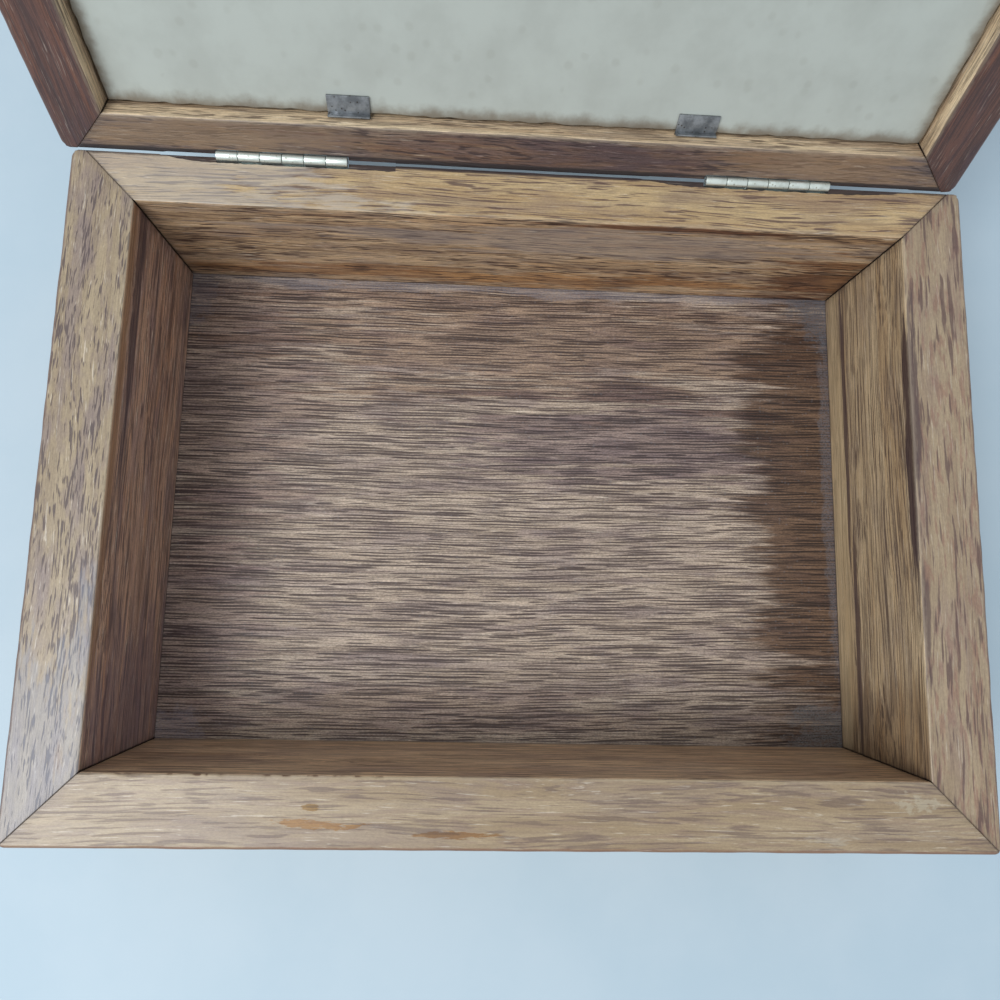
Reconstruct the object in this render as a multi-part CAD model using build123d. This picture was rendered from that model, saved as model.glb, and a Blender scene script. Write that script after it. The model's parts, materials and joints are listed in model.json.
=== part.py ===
from build123d import *
import os

# An oak photo box whose lid is a picture frame, standing open on its two butt hinges.
# Millimetres. X runs to the right, Y to the back where the hinges are, and Z up.
# The origin is the centre of the box's underside.

# Box body
box_width = 266.0
box_depth = 192.4
cavity_depth = 48.0
wall_thickness = 19.0
back_wall_thickness = 15.0
bottom_thickness = 6.4
bottom_rabbet_width = 8.0
bottom_side_clearance = 0.25

# Lid frame, sawn from the same boards as the walls
lid_height = 19.0
lid_rabbet_width = 4.0
lid_side_offset = -2.2
lid_opening_angle = 114.0
closing_gap = 0.3

# Rounded edges of the wood
corner_radius = 2.2
rim_outer_radius = 0.8
rim_inner_radius = 0.5
underside_radius = 1.0
lid_top_radius = 1.6
sight_edge_radius = 1.0

# What the lid holds, from the backing board towards the sight opening
board_recess = 5.2
board_thickness = 3.0
card_thickness = 0.3
mat_thickness = 1.4
glass_thickness = 2.0
pane_side_clearance = 0.5
print_length = 178.0
print_width = 127.0
mat_overlap = 4.0
mat_bevel = 1.1

# Push points that hold the backing board
point_width = 12.0
point_thickness = 0.6
point_reach = 6.0
point_depth = 5.0
point_tip_width = 5.0
point_flange_height = 2.2
point_flange_standoff = 0.4
point_slit_clearance = 0.05
point_spacing = 100.0

# Butt hinges
hinge_spacing = 145.0
hinge_length = 38.1
knuckle_count = 6
knuckle_gap = 0.2
knuckle_radius = 1.5
knuckle_clearance = 0.3
pin_radius = 0.55
pin_clearance = 0.05
pin_end_radius = 0.2
axis_setback = 0.1
leaf_thickness = 0.9
leaf_width = 13.0
leaf_corner_radius = 1.2
mortise_clearance = 0.2

# Countersunk slotted screws
screw_spacing = 24.0
screw_drop = 7.4
screw_length = 9.4
screw_head_radius = 2.2
screw_head_rim = 0.15
screw_shank_radius = 1.2
screw_tip_length = 3.0
screw_tip_radius = 0.2
screw_slot_width = 0.6
screw_slot_depth = 0.4
screw_fit = 0.05

# Shallow relief along the back arris on both sides of each hinge
relief_drop = 0.5
box_relief_width = 2.0
lid_relief_width = 1.2
relief_left_outer_overrun = 17.0
relief_left_outer_run_out = 16.0
relief_left_inner_overrun = 14.0
relief_right_inner_overrun = 20.0
relief_right_inner_run_out = 18.0
relief_right_outer_overrun = 28.0
relief_right_outer_run_out = 25.0

# How far a cutting shape runs past the face that it opens
cut_margin = 2.0

# Places that follow from the sizes
half_width = box_width / 2
half_depth = box_depth / 2
inner_half_width = half_width - wall_thickness
inner_front = -half_depth + wall_thickness
inner_back = half_depth - back_wall_thickness
rim_height = bottom_thickness + cavity_depth
lid_base = rim_height + closing_gap
lid_top = lid_base + lid_height
board_face = lid_base + board_recess
rabbet_height = board_recess + board_thickness + card_thickness + mat_thickness + glass_thickness
axis_y = half_depth + axis_setback
axis_z = rim_height + closing_gap / 2
knuckle_pitch = hinge_length / knuckle_count
leaf_bed_y = axis_y - knuckle_radius
leaf_face_y = leaf_bed_y + leaf_thickness
knuckle_reach = knuckle_radius + knuckle_clearance
hinge_axis = Axis((0, axis_y, axis_z), (1, 0, 0))

LEFT = "left"
RIGHT = "right"
hinge_centres = {LEFT: -hinge_spacing / 2, RIGHT: hinge_spacing / 2}


def block(x_range, y_range, z_range):
    """A box between two values along each axis."""
    size = [high - low for low, high in (x_range, y_range, z_range)]
    centre = [(high + low) / 2 for low, high in (x_range, y_range, z_range)]
    return Pos(*centre) * Box(*size)


def opened(shape):
    """Turns a piece of the closed lid to where the lid stands open."""
    return shape.rotate(hinge_axis, -lid_opening_angle)


# Wood: a ring of four walls is shaped whole and then cut at its mitres


def inner_block(spread, low, high):
    """The space inside the four walls, widened on every side by spread."""
    return block(
        (-inner_half_width - spread, inner_half_width + spread),
        (inner_front - spread, inner_back + spread),
        (low, high),
    )


def ring(low, high, outer_low_radius, outer_high_radius):
    """The four walls as one piece, with the outer edges rounded."""
    plan = RectangleRounded(box_width, box_depth, corner_radius)
    body = Pos(0, 0, low) * extrude(plan, high - low)
    low_edges = body.faces().sort_by(Axis.Z)[0].edges()
    body = fillet(low_edges, outer_low_radius)
    high_edges = body.faces().sort_by(Axis.Z)[-1].edges()
    return fillet(high_edges, outer_high_radius)


def rounded_inner_edge(body, height, radius):
    """Rounds the inner edge of the ring on its flat face at the given height."""
    face = body.faces().filter_by(Axis.Z).sort_by(lambda one: abs(one.center().Z - height))[0]
    return fillet(face.inner_wires()[0].edges(), radius)


def relief_ends(side):
    """Where the relief beside one hinge starts and ends along X, and how long each end runs out."""
    start = hinge_centres[side] - hinge_length / 2
    end = hinge_centres[side] + hinge_length / 2
    if side == LEFT:
        start = start - relief_left_outer_overrun
        end = end + relief_left_inner_overrun
        return start, relief_left_outer_run_out, end, 0
    start = start - relief_right_inner_overrun
    end = end + relief_right_outer_overrun
    return start, relief_right_inner_run_out, end, relief_right_outer_run_out


def relief_cut(side, width, low, high):
    """The shallow cut beside a hinge, which runs out in arcs except at one square end."""
    start, start_run_out, end, end_run_out = relief_ends(side)
    back = half_depth
    floor = back - width
    outside = back + cut_margin
    inner_start = (start + start_run_out, floor)
    arc_in = TangentArc(inner_start, (start, back), tangent=(-1, 0))
    inner_end = (end - end_run_out, floor)
    if end_run_out:
        arc_out = TangentArc(inner_end, (end, back), tangent=(1, 0))
        far_end = [arc_out, Line((end, back), (end, outside))]
    else:
        far_end = [Line(inner_end, (end, outside))]
    near_end = [Line((end, outside), (start, outside)), Line((start, outside), (start, back))]
    plan = make_face([arc_in, Line(inner_start, inner_end)] + far_end + near_end)
    return Pos(0, 0, low) * extrude(plan, high - low, dir=(0, 0, 1))


def hinge_cuts(side, up, relief_width):
    """What one leaf takes out of a closed back board, up 1 for the lid and -1 for the box."""
    board_edge = lid_base if up > 0 else rim_height
    half = hinge_length / 2 + mortise_clearance
    centre = hinge_centres[side]
    x_range = (centre - half, centre + half)
    outside = half_depth + cut_margin
    past_edge = board_edge - up * cut_margin
    cut_ends = sorted((past_edge, board_edge + up * relief_drop))
    pocket_ends = sorted((past_edge, axis_z + up * knuckle_reach))
    bed_ends = sorted((past_edge, axis_z + up * (leaf_width + mortise_clearance)))
    relief = relief_cut(side, relief_width, cut_ends[0], cut_ends[1])
    pocket = block(x_range, (axis_y - knuckle_reach, outside), pocket_ends)
    bed = block(x_range, (leaf_bed_y, outside), bed_ends)
    return [relief, pocket, bed] + screw_holes(side, up)


def mitred(body, name):
    """One wall of the ring, cut at 45 degrees from the inner corners outwards."""
    reach = cut_margin
    front_reach = wall_thickness + reach
    back_reach = back_wall_thickness + reach
    front_inner = [(-inner_half_width, inner_front), (inner_half_width, inner_front)]
    back_inner = [(-inner_half_width, inner_back), (inner_half_width, inner_back)]
    front_outer = [
        (-inner_half_width - front_reach, inner_front - front_reach),
        (inner_half_width + front_reach, inner_front - front_reach),
    ]
    back_outer = [
        (-inner_half_width - back_reach, inner_back + back_reach),
        (inner_half_width + back_reach, inner_back + back_reach),
    ]
    side_x = half_width + reach
    plans = {
        "front": [front_outer[0], front_outer[1], front_inner[1], front_inner[0]],
        "back": [back_inner[0], back_inner[1], back_outer[1], back_outer[0]],
        "left": [front_outer[0], front_inner[0], back_inner[0], back_outer[0],
                 (-side_x, back_outer[0][1])],
        "right": [front_inner[1], front_outer[1], (side_x, back_outer[1][1]),
                  back_outer[1], back_inner[1]],
    }
    low = -cut_margin
    prism = Pos(0, 0, low) * extrude(Polygon(*plans[name]), lid_top + 2 * cut_margin, dir=(0, 0, 1))
    return body & prism


# Screws, with the holes cut by the same shape made larger by the fit


def screw_form(grow, head_height):
    """One screw pointing down Z with its head's top at zero, grown all over by grow."""
    head = screw_head_radius + grow
    shank = screw_shank_radius + grow
    cone = screw_head_radius - screw_shank_radius
    neck = -screw_head_rim - cone
    taper_top = -screw_length + screw_tip_length
    end = -screw_length - grow
    outline = Polygon(
        (0, head_height),
        (0, end),
        (screw_tip_radius + grow, end),
        (shank, taper_top),
        (shank, neck),
        (head, -screw_head_rim),
        (head, head_height),
    )
    return revolve(Plane.XZ * outline, Axis.Z)


def screw_places(side, up):
    """Where a hinge's screws enter, with up 1 for the lid's leaf and -1 for the box's."""
    centre = hinge_centres[side]
    height = axis_z + up * screw_drop
    turn = Rot(-90, 0, 0)
    return [Pos(centre + step * screw_spacing / 2, leaf_face_y, height) * turn for step in (-1, 1)]


def screw_holes(side, up):
    """The clearance for a hinge's screws, through the leaf and into the wood."""
    return [place * screw_form(screw_fit, cut_margin) for place in screw_places(side, up)]


def screws(side, up):
    """A hinge's screws on one leaf, each with a slot across its head."""
    slot = Pos(0, 0, -screw_slot_depth / 2) * Box(
        2 * screw_head_radius + cut_margin, screw_slot_width, screw_slot_depth
    )
    one = screw_form(0, 0) - slot
    return [place * one for place in screw_places(side, up)]


# Hinges, drawn about their pin with the lid closed


def hinge_leaf(side, up):
    """A leaf with every second knuckle, up 1 for the lid's leaf and -1 for the box's."""
    half = hinge_length / 2
    y_low = -knuckle_radius
    y_high = y_low + leaf_thickness
    z_ends = sorted((up * knuckle_reach, up * leaf_width))
    leaf = block((-half, half), (y_low, y_high), z_ends)
    far_corners = leaf.edges().filter_by(Axis.Y).sort_by(lambda edge: up * edge.center().Z)[-2:]
    leaf = fillet(far_corners, leaf_corner_radius)
    first = 0 if up < 0 else 1
    for index in range(first, knuckle_count, 2):
        start = -half + index * knuckle_pitch + knuckle_gap / 2
        end = start + knuckle_pitch - knuckle_gap
        web_ends = sorted((0, up * (knuckle_reach + leaf_thickness)))
        web = block((start, end), (y_low, y_high), web_ends)
        barrel = Pos((start + end) / 2, 0, 0) * Rot(0, 90, 0) * Cylinder(knuckle_radius, end - start)
        leaf = leaf + web + barrel
    bore = Rot(0, 90, 0) * Cylinder(pin_radius + pin_clearance, hinge_length + cut_margin)
    leaf = Pos(hinge_centres[side], axis_y, axis_z) * (leaf - bore)
    for hole in screw_holes(side, up):
        leaf = leaf - hole
    return leaf


def hinge_pin(side):
    """The pin through a hinge's knuckles, as long as the leaves."""
    pin = Rot(0, 90, 0) * Cylinder(pin_radius, hinge_length)
    pin = fillet(pin.edges(), pin_end_radius)
    return Pos(hinge_centres[side], axis_y, axis_z) * pin


# Backing board points, drawn at the middle of a wall that lies at Y = 0 with the opening at -Y


def point_plan(grow):
    """A point seen from above, with its driven end at +Y, grown by grow."""
    half = point_width / 2 + grow
    tip = point_tip_width / 2 + grow
    return Polygon(
        (-half, -point_reach),
        (half, -point_reach),
        (half, 0),
        (tip, point_depth + grow),
        (-tip, point_depth + grow),
        (-half, 0),
    )


def backing_point():
    """A flat point that lies under the board's face, with a flange to push it in by."""
    plate = Pos(0, 0, -point_thickness) * extrude(point_plan(0), point_thickness, dir=(0, 0, 1))
    flange_back = -point_flange_standoff
    flange = block(
        (-point_width / 2, point_width / 2),
        (flange_back - point_thickness, flange_back),
        (-point_flange_height, 0),
    )
    return plate + flange


def point_slit():
    """The slit that a point is driven into."""
    height = point_thickness + 2 * point_slit_clearance
    low = -point_thickness - point_slit_clearance
    return Pos(0, 0, low) * extrude(point_plan(point_slit_clearance), height, dir=(0, 0, 1))


def point_places():
    """Two points on the front and back rails, one on each side rail."""
    wall_x = inner_half_width + lid_rabbet_width
    wall_front = inner_front - lid_rabbet_width
    wall_back = inner_back + lid_rabbet_width
    middle_y = (wall_front + wall_back) / 2
    places = []
    for step in (-1, 1):
        places.append(Pos(step * point_spacing / 2, wall_back, board_face))
        places.append(Pos(step * point_spacing / 2, wall_front, board_face) * Rot(0, 0, 180))
        places.append(Pos(step * wall_x, middle_y, board_face) * Rot(0, 0, -90 * step))
    return places


# What the frame holds, each a flat sheet in the rabbet


def sheet(low, thickness, shrink):
    """A sheet as large as the rabbet, less shrink on every side."""
    return inner_block(lid_rabbet_width - shrink, low, low + thickness)


def window_mat(low):
    """The mat, with a window smaller than the print and a bevel on its upper edge."""
    window_length = print_length - 2 * mat_overlap
    window_width = print_width - 2 * mat_overlap
    middle_y = (inner_front + inner_back) / 2
    board = sheet(low, mat_thickness, pane_side_clearance)
    window = Pos(0, middle_y, low + mat_thickness / 2) * Box(window_length, window_width, mat_thickness)
    board = board - window
    upper = board.faces().sort_by(Axis.Z)[-1]
    return chamfer(upper.inner_wires()[0].edges(), mat_bevel)


# Box body


def box_parts():
    """The fixed half: four walls, the bottom panel, and the fixed hinge pieces."""
    body = ring(0, rim_height, underside_radius, rim_outer_radius)
    body = body - inner_block(0, -cut_margin, rim_height + cut_margin)
    body = body - inner_block(bottom_rabbet_width, -cut_margin, bottom_thickness)
    body = rounded_inner_edge(body, rim_height, rim_inner_radius)
    for side in hinge_centres:
        for cut in hinge_cuts(side, -1, box_relief_width):
            body = body - cut
    parts = {f"box_{name}_wall": mitred(body, name) for name in ("front", "back", "left", "right")}
    panel_spread = bottom_rabbet_width - bottom_side_clearance
    parts["box_bottom_panel"] = inner_block(panel_spread, 0, bottom_thickness)
    for side in hinge_centres:
        parts[f"hinge_{side}_box_leaf"] = hinge_leaf(side, -1)
        parts[f"hinge_{side}_pin"] = hinge_pin(side)
        parts[f"hinge_{side}_box_screws"] = Compound(children=screws(side, -1))
    return parts


# Lid


def lid_parts():
    """The turning half, drawn closed and then turned open about the hinge pins."""
    shift = Pos(lid_side_offset, 0, 0)
    body = ring(lid_base, lid_top, rim_outer_radius, lid_top_radius)
    body = body - inner_block(0, lid_base - cut_margin, lid_top + cut_margin)
    body = body - inner_block(lid_rabbet_width, lid_base - cut_margin, lid_base + rabbet_height)
    body = rounded_inner_edge(body, lid_base, rim_inner_radius)
    body = rounded_inner_edge(body, lid_top, sight_edge_radius)
    for place in point_places():
        body = body - place * point_slit()
    unshift = shift.inverse()
    for side in hinge_centres:
        for cut in hinge_cuts(side, 1, lid_relief_width):
            body = body - unshift * cut
    parts = {}
    for name in ("front", "back", "left", "right"):
        parts[f"lid_{name}_rail"] = shift * mitred(body, name)

    board_top = board_face + board_thickness
    mat_base = board_top + card_thickness
    glass_base = mat_base + mat_thickness
    middle_y = (inner_front + inner_back) / 2
    parts["lid_glass"] = shift * sheet(glass_base, glass_thickness, pane_side_clearance)
    parts["photo_mat"] = shift * window_mat(mat_base)
    card = Pos(0, middle_y, board_top + card_thickness / 2) * Box(print_length, print_width, card_thickness)
    parts["photo_card"] = shift * card
    parts["backing_board"] = shift * sheet(board_face, board_thickness, pane_side_clearance)
    points = [shift * place * backing_point() for place in point_places()]
    parts["backing_points"] = Compound(children=points)
    for side in hinge_centres:
        parts[f"hinge_{side}_lid_leaf"] = hinge_leaf(side, 1)
        parts[f"hinge_{side}_lid_screws"] = Compound(children=screws(side, 1))
    return {name: opened(shape) for name, shape in parts.items()}


os.makedirs("parts", exist_ok=True)
all_parts = {**box_parts(), **lid_parts()}
for node, shape in all_parts.items():
    export_step(shape, f"parts/{node}.step")
print(len(all_parts), "parts, pin axis at Y", axis_y, "and Z", axis_z)
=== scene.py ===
import json
import logging
import math
from collections.abc import Sequence
from dataclasses import dataclass, replace
from enum import Enum

import bmesh
import bpy
import numpy as np
from mathutils import Euler, Matrix, Vector


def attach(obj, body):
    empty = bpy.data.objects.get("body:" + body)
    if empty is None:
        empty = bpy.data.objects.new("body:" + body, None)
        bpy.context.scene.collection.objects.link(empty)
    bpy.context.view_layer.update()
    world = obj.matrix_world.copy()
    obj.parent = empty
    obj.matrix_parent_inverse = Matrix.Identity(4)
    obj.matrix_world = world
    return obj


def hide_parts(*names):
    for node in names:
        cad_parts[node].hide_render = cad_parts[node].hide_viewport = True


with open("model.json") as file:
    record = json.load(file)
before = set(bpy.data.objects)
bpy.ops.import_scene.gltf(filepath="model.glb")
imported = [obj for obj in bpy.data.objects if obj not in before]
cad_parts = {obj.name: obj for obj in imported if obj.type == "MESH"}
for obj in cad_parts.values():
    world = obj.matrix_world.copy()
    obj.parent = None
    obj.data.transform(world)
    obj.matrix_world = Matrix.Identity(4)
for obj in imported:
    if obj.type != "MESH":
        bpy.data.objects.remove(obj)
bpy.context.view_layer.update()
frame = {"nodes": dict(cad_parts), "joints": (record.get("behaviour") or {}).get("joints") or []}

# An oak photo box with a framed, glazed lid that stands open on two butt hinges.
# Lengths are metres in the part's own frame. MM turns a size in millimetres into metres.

MM = 0.001
CREASE = 33.0
log = logging.getLogger("photo_box")

Pair = tuple[float, float]
Triple = tuple[float, float, float]
Colour = tuple[float, float, float, float]
Piece = bpy.types.Object
Material = bpy.types.Material
Node = bpy.types.Node
Socket = bpy.types.NodeSocket
Kinds = dict[str, Sequence[str]]


class Side(Enum):
    """The four boards of a mitred ring."""

    FRONT = "front"
    BACK = "back"
    LEFT = "left"
    RIGHT = "right"


class Hand(Enum):
    """The two hinges."""

    LEFT = "left"
    RIGHT = "right"


class Body(Enum):
    """The bodies that the joint ties together."""

    BOX = "box"
    LID = "lid"


class Slot(Enum):
    """The record's material slots, by name; the metal finishes are keyed by them."""

    OAK = "oak"
    VENEER = "oak_veneer"
    HINGE = "hinge_metal"
    PIN = "pin_steel"
    SCREW = "screw_metal"
    GLASS = "glass"
    MAT = "mat_board"
    PRINT = "print_paper"
    BACKING = "backing_card"
    POINT = "point_steel"


# What the frame says


def rows_of(items: bpy.types.bpy_prop_collection, field: str) -> np.ndarray:
    """Reads a field of three numbers from every vertex or face.

    Args:
        items: A mesh's vertices or faces.
        field: The field's name.

    Returns:
        One row for each of them.
    """
    values = np.empty(len(items) * 3, np.float32)
    items.foreach_get(field, values)
    return values.reshape(-1, 3).astype(float)


def vertices_of(piece: Piece) -> np.ndarray:
    """A piece's vertices, one row for each."""
    return rows_of(piece.data.vertices, "co")


def moved(points: np.ndarray, matrix: Matrix) -> np.ndarray:
    """Carries points, one in each row, through a matrix."""
    table = np.array(matrix)
    return points @ table[:3, :3].T + table[:3, 3]


def scaled(size: Sequence[float]) -> tuple[float, ...]:
    """A size in millimetres as metres."""
    return tuple(value * MM for value in size)


def opening_turn() -> Matrix:
    """The turn that carries a piece of the closed lid to where the lid stands open.

    Returns:
        The turn about the pins.
    """
    joint = frame["joints"][0]
    pin = Vector(joint["pos_m"])
    angle = -math.radians(joint["range_deg"][1])
    return Matrix.Translation(pin) @ Matrix.Rotation(angle, 4, "X") @ Matrix.Translation(-pin)


OPEN = opening_turn()
CLOSED = OPEN.inverted()
PIN_AXIS = Vector(frame["joints"][0]["pos_m"])


@dataclass(frozen=True)
class Span:
    """The lowest and highest corners of something."""

    low: Vector
    high: Vector

    @classmethod
    def of(cls, node: str, turn: Matrix = Matrix.Identity(4)) -> "Span":
        """Measures a CAD node, which is carried through a turn first."""
        points = moved(vertices_of(frame["nodes"][node]), turn)
        return cls(Vector(points.min(0)), Vector(points.max(0)))

    @property
    def centre(self) -> Vector:
        """The middle of the span."""
        return (self.low + self.high) / 2

    @property
    def size(self) -> Vector:
        """The span's three lengths."""
        return self.high - self.low


# Mesh making


def quarter_turn(steps: int) -> list[float]:
    """Even angles from nothing to a quarter turn."""
    return [step / steps * math.pi / 2 for step in range(steps + 1)]


def wander(points: np.ndarray, wavelength: float, seed: int, waves: int = 9) -> np.ndarray:
    """A smooth random drift.

    Args:
        points: Where it is read, one row for each point.
        wavelength: The usual distance between crests.
        seed: Which drift to take.
        waves: How many sine waves are summed.

    Returns:
        One value for each point, mostly between -1 and 1.
    """
    rng = np.random.default_rng(seed)
    directions = rng.normal(size=(waves, points.shape[1]))
    directions /= np.linalg.norm(directions, axis=1)[:, None]
    lengths = wavelength * rng.uniform(0.5, 1.8, waves)
    phases = rng.uniform(0, math.tau, waves)
    angles = points @ (directions / lengths[:, None]).T * math.tau + phases
    return np.sin(angles).sum(1) / math.sqrt(waves)


def linked(name: str, mesh: bpy.types.Mesh) -> Piece:
    """Puts a mesh in the scene, at the origin.

    Args:
        name: The piece's name.
        mesh: The mesh.

    Returns:
        The piece.
    """
    piece = bpy.data.objects.new(name, mesh)
    bpy.context.scene.collection.objects.link(piece)
    return piece


def turned_out(piece: Piece) -> None:
    """Points every face of a closed mesh outwards.

    Args:
        piece: The mesh's piece.
    """
    work = bmesh.new()
    work.from_mesh(piece.data)
    bmesh.ops.recalc_face_normals(work, faces=work.faces[:])
    work.to_mesh(piece.data)
    work.free()


def new_piece(name: str, points: np.ndarray, faces: Sequence[Sequence[int]], *materials: Material) -> Piece:
    """Makes a closed mesh whose faces point outwards.

    Args:
        name: The piece's name.
        points: One row for each vertex.
        faces: The vertex numbers of each face.
        materials: Its materials.

    Returns:
        The new piece, at the origin.
    """
    mesh = bpy.data.meshes.new(name)
    mesh.from_pydata(points.tolist(), [], [list(face) for face in faces])
    mesh.validate()
    piece = linked(name, mesh)
    turned_out(piece)
    for material in materials:
        mesh.materials.append(material)
    return piece


def baked(piece: Piece) -> None:
    """Turns a piece's modifiers into plain mesh.

    Args:
        piece: The piece, which loses its modifiers.
    """
    graph = bpy.context.evaluated_depsgraph_get()
    mesh = bpy.data.meshes.new_from_object(piece.evaluated_get(graph), depsgraph=graph)
    piece.modifiers.clear()
    old = piece.data
    piece.data = mesh
    bpy.data.meshes.remove(old)
    mesh.name = piece.name


def carved(piece: Piece, cutters: Sequence[Piece], material_index: int = 0) -> None:
    """Cuts shapes out of a piece, one after another.

    Args:
        piece: The piece.
        cutters: Closed meshes, which are used up.
        material_index: The material slot that the new faces take.
    """
    for cutter in cutters:
        for _ in range(material_index + 1):
            cutter.data.materials.append(None)
        cutter.data.polygons.foreach_set("material_index", [material_index] * len(cutter.data.polygons))
        cut = piece.modifiers.new("cut", "BOOLEAN")
        cut.operation = "DIFFERENCE"
        cut.solver = "EXACT"
        cut.material_mode = "INDEX"
        cut.object = cutter
    bpy.context.view_layer.update()
    baked(piece)
    used_up(cutters)


def used_up(pieces: Sequence[Piece]) -> None:
    """Removes pieces with their meshes."""
    for mesh in [piece.data for piece in pieces]:
        bpy.data.meshes.remove(mesh)


def prism(name: str, plan: Sequence[Pair], low: float, high: float, *materials: Material) -> Piece:
    """Raises a flat outline into a closed solid along Z.

    Args:
        name: The solid's name.
        plan: The outline's points.
        low: The height of its lower face.
        high: The height of its upper face.
        materials: Its materials.

    Returns:
        The solid.
    """
    count = len(plan)
    points = np.array([(x, y, low) for x, y in plan] + [(x, y, high) for x, y in plan])
    walls = [(i, (i + 1) % count, (i + 1) % count + count, i + count) for i in range(count)]
    faces = walls + [tuple(range(count))[::-1], tuple(range(count, 2 * count))]
    return new_piece(name, points, faces, *materials)


def brick(name: str, low: Triple, high: Triple, *materials: Material) -> Piece:
    """A block between its lowest and its highest corner."""
    plan = [(low[0], low[1]), (high[0], low[1]), (high[0], high[1]), (low[0], high[1])]
    return prism(name, plan, low[2], high[2], *materials)


def set_values(piece: Piece, name: str, values: np.ndarray) -> None:
    """Writes a value on every vertex.

    Args:
        piece: The piece.
        name: The value's name.
        values: One number, vector or colour for each vertex.
    """
    kinds = {1: ("FLOAT", "value"), 3: ("FLOAT_VECTOR", "vector"), 4: ("FLOAT_COLOR", "color")}
    kind, field = kinds[values.size // len(values)]
    attribute = piece.data.attributes.new(name, kind, "POINT")
    attribute.data.foreach_set(field, values.astype(np.float32).ravel())


def settled(piece: Piece, body: Body, node: str) -> None:
    """Shades a finished piece smoothly but for its corners, and ties it to its body and node.

    Args:
        piece: The piece.
        body: The body that it rides on.
        node: The CAD node that it stands for.
    """
    piece.data.shade_smooth()
    piece.data.set_sharp_from_angle(angle=math.radians(CREASE))
    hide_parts(node)
    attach(piece, body.value)
    log.info("%s: %d faces, on %s", piece.name, len(piece.data.polygons), body.value)


# Shader nodes


def tone(red: float, green: float, blue: float) -> Colour:
    """A colour from its display values, 0 to 255, as the linear values that nodes take.

    Args:
        red: Its red.
        green: Its green.
        blue: Its blue.

    Returns:
        The colour, opaque.
    """
    shares = [value / 255 for value in (red, green, blue)]
    linear = [share / 12.92 if share <= 0.04045 else ((share + 0.055) / 1.055) ** 2.4 for share in shares]
    return (*linear, 1.0)


def grained(length: float, width: float) -> Triple:
    """The size of a cell along and across the grain, in millimetres, as three lengths in metres."""
    return (length * MM, width * MM, width * MM)


class Tree:
    """Writes nodes into one tree, with a short call for each kind."""

    def __init__(self, tree: bpy.types.NodeTree) -> None:
        """Starts on an empty tree."""
        self.tree = tree
        tree.nodes.clear()

    def put(self, target: Socket, value: object) -> None:
        """Links an input to a socket, or gives it a value.

        Args:
            target: The input.
            value: An output socket, a number, a vector or a colour.
        """
        if isinstance(value, Socket):
            self.tree.links.new(value, target)
        else:
            target.default_value = value

    def node(self, kind: str, *values: object, **settings: object) -> Node:
        """Adds a node.

        Args:
            kind: The node's type.
            values: What its first inputs take.
            settings: Its properties.

        Returns:
            The node.
        """
        made = self.tree.nodes.new(kind)
        for name, value in settings.items():
            setattr(made, name, value)
        for target, value in zip(made.inputs, values):
            self.put(target, value)
        return made

    def filled(self, made: Node, **values: object) -> Node:
        """Fills a node's inputs by name, with _ for a space.

        Args:
            made: The node.
            values: What its inputs take.

        Returns:
            The same node.
        """
        for name, value in values.items():
            self.put(made.inputs[name.replace("_", " ")], value)
        return made

    def math(self, operation: str, *values: object, clamp: bool = False) -> Socket:
        """Works out a number."""
        return self.node("ShaderNodeMath", *values, operation=operation, use_clamp=clamp).outputs[0]

    def vector(self, operation: str, *values: object) -> Socket:
        """Works out a vector, or the length of one."""
        made = self.node("ShaderNodeVectorMath", *values, operation=operation)
        return made.outputs["Value" if operation == "LENGTH" else "Vector"]

    def mix(self, share: object, first: object, second: object, blend: str = "MIX") -> Socket:
        """Mixes two colours.

        Args:
            share: How much of the second shows.
            first: The first colour.
            second: The second colour.
            blend: How they mix.

        Returns:
            The mixed colour.
        """
        made = self.node("ShaderNodeMix", share, data_type="RGBA", blend_type=blend)
        self.put(made.inputs[6], first)
        self.put(made.inputs[7], second)
        return made.outputs[2]

    def span(self, value: object, start: object, end: object, low: float = 0.0, high: float = 1.0) -> Socket:
        """Runs smoothly from low to high as a value goes from start to end."""
        made = self.node("ShaderNodeMapRange", value, start, end, low, high, interpolation_type="SMOOTHSTEP")
        return made.outputs[0]

    def noise(self, place: Socket, size: object, detail: float = 2.0, rough: float = 0.5) -> Node:
        """Adds cloudy noise, with outputs Fac and Color, whose cells have a size in metres."""
        place = self.vector("DIVIDE", place, size)
        return self.filled(self.node("ShaderNodeTexNoise"), Vector=place, Scale=1.0, Detail=detail, Roughness=rough)

    def parts(self, value: Socket) -> Node:
        """Splits a vector or colour into X, Y and Z."""
        return self.node("ShaderNodeSeparateXYZ", value)

    def joined(self, x: object, y: object, z: object) -> Socket:
        """Makes a vector from three numbers."""
        return self.node("ShaderNodeCombineXYZ", x, y, z).outputs[0]

    def group(self, tree: bpy.types.NodeTree, **values: object) -> Node:
        """Places a group and fills its inputs."""
        return self.filled(self.node("ShaderNodeGroup", node_tree=tree), **values)

    def attribute(self, name: str) -> Node:
        """Reads a value that the mesh carries."""
        return self.node("ShaderNodeAttribute", attribute_name=name)


def add_sockets(tree: bpy.types.NodeTree, direction: str, kinds: Kinds) -> dict[str, str]:
    """Adds a group's sockets.

    Args:
        tree: The group.
        direction: INPUT or OUTPUT.
        kinds: The sockets' names under each kind, such as Float.

    Returns:
        Each socket's identifier under its name.
    """
    made = {}
    for kind, labels in kinds.items():
        for label in labels:
            socket = tree.interface.new_socket(label, in_out=direction, socket_type=f"NodeSocket{kind}")
            made[label] = socket.identifier
    return made


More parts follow.
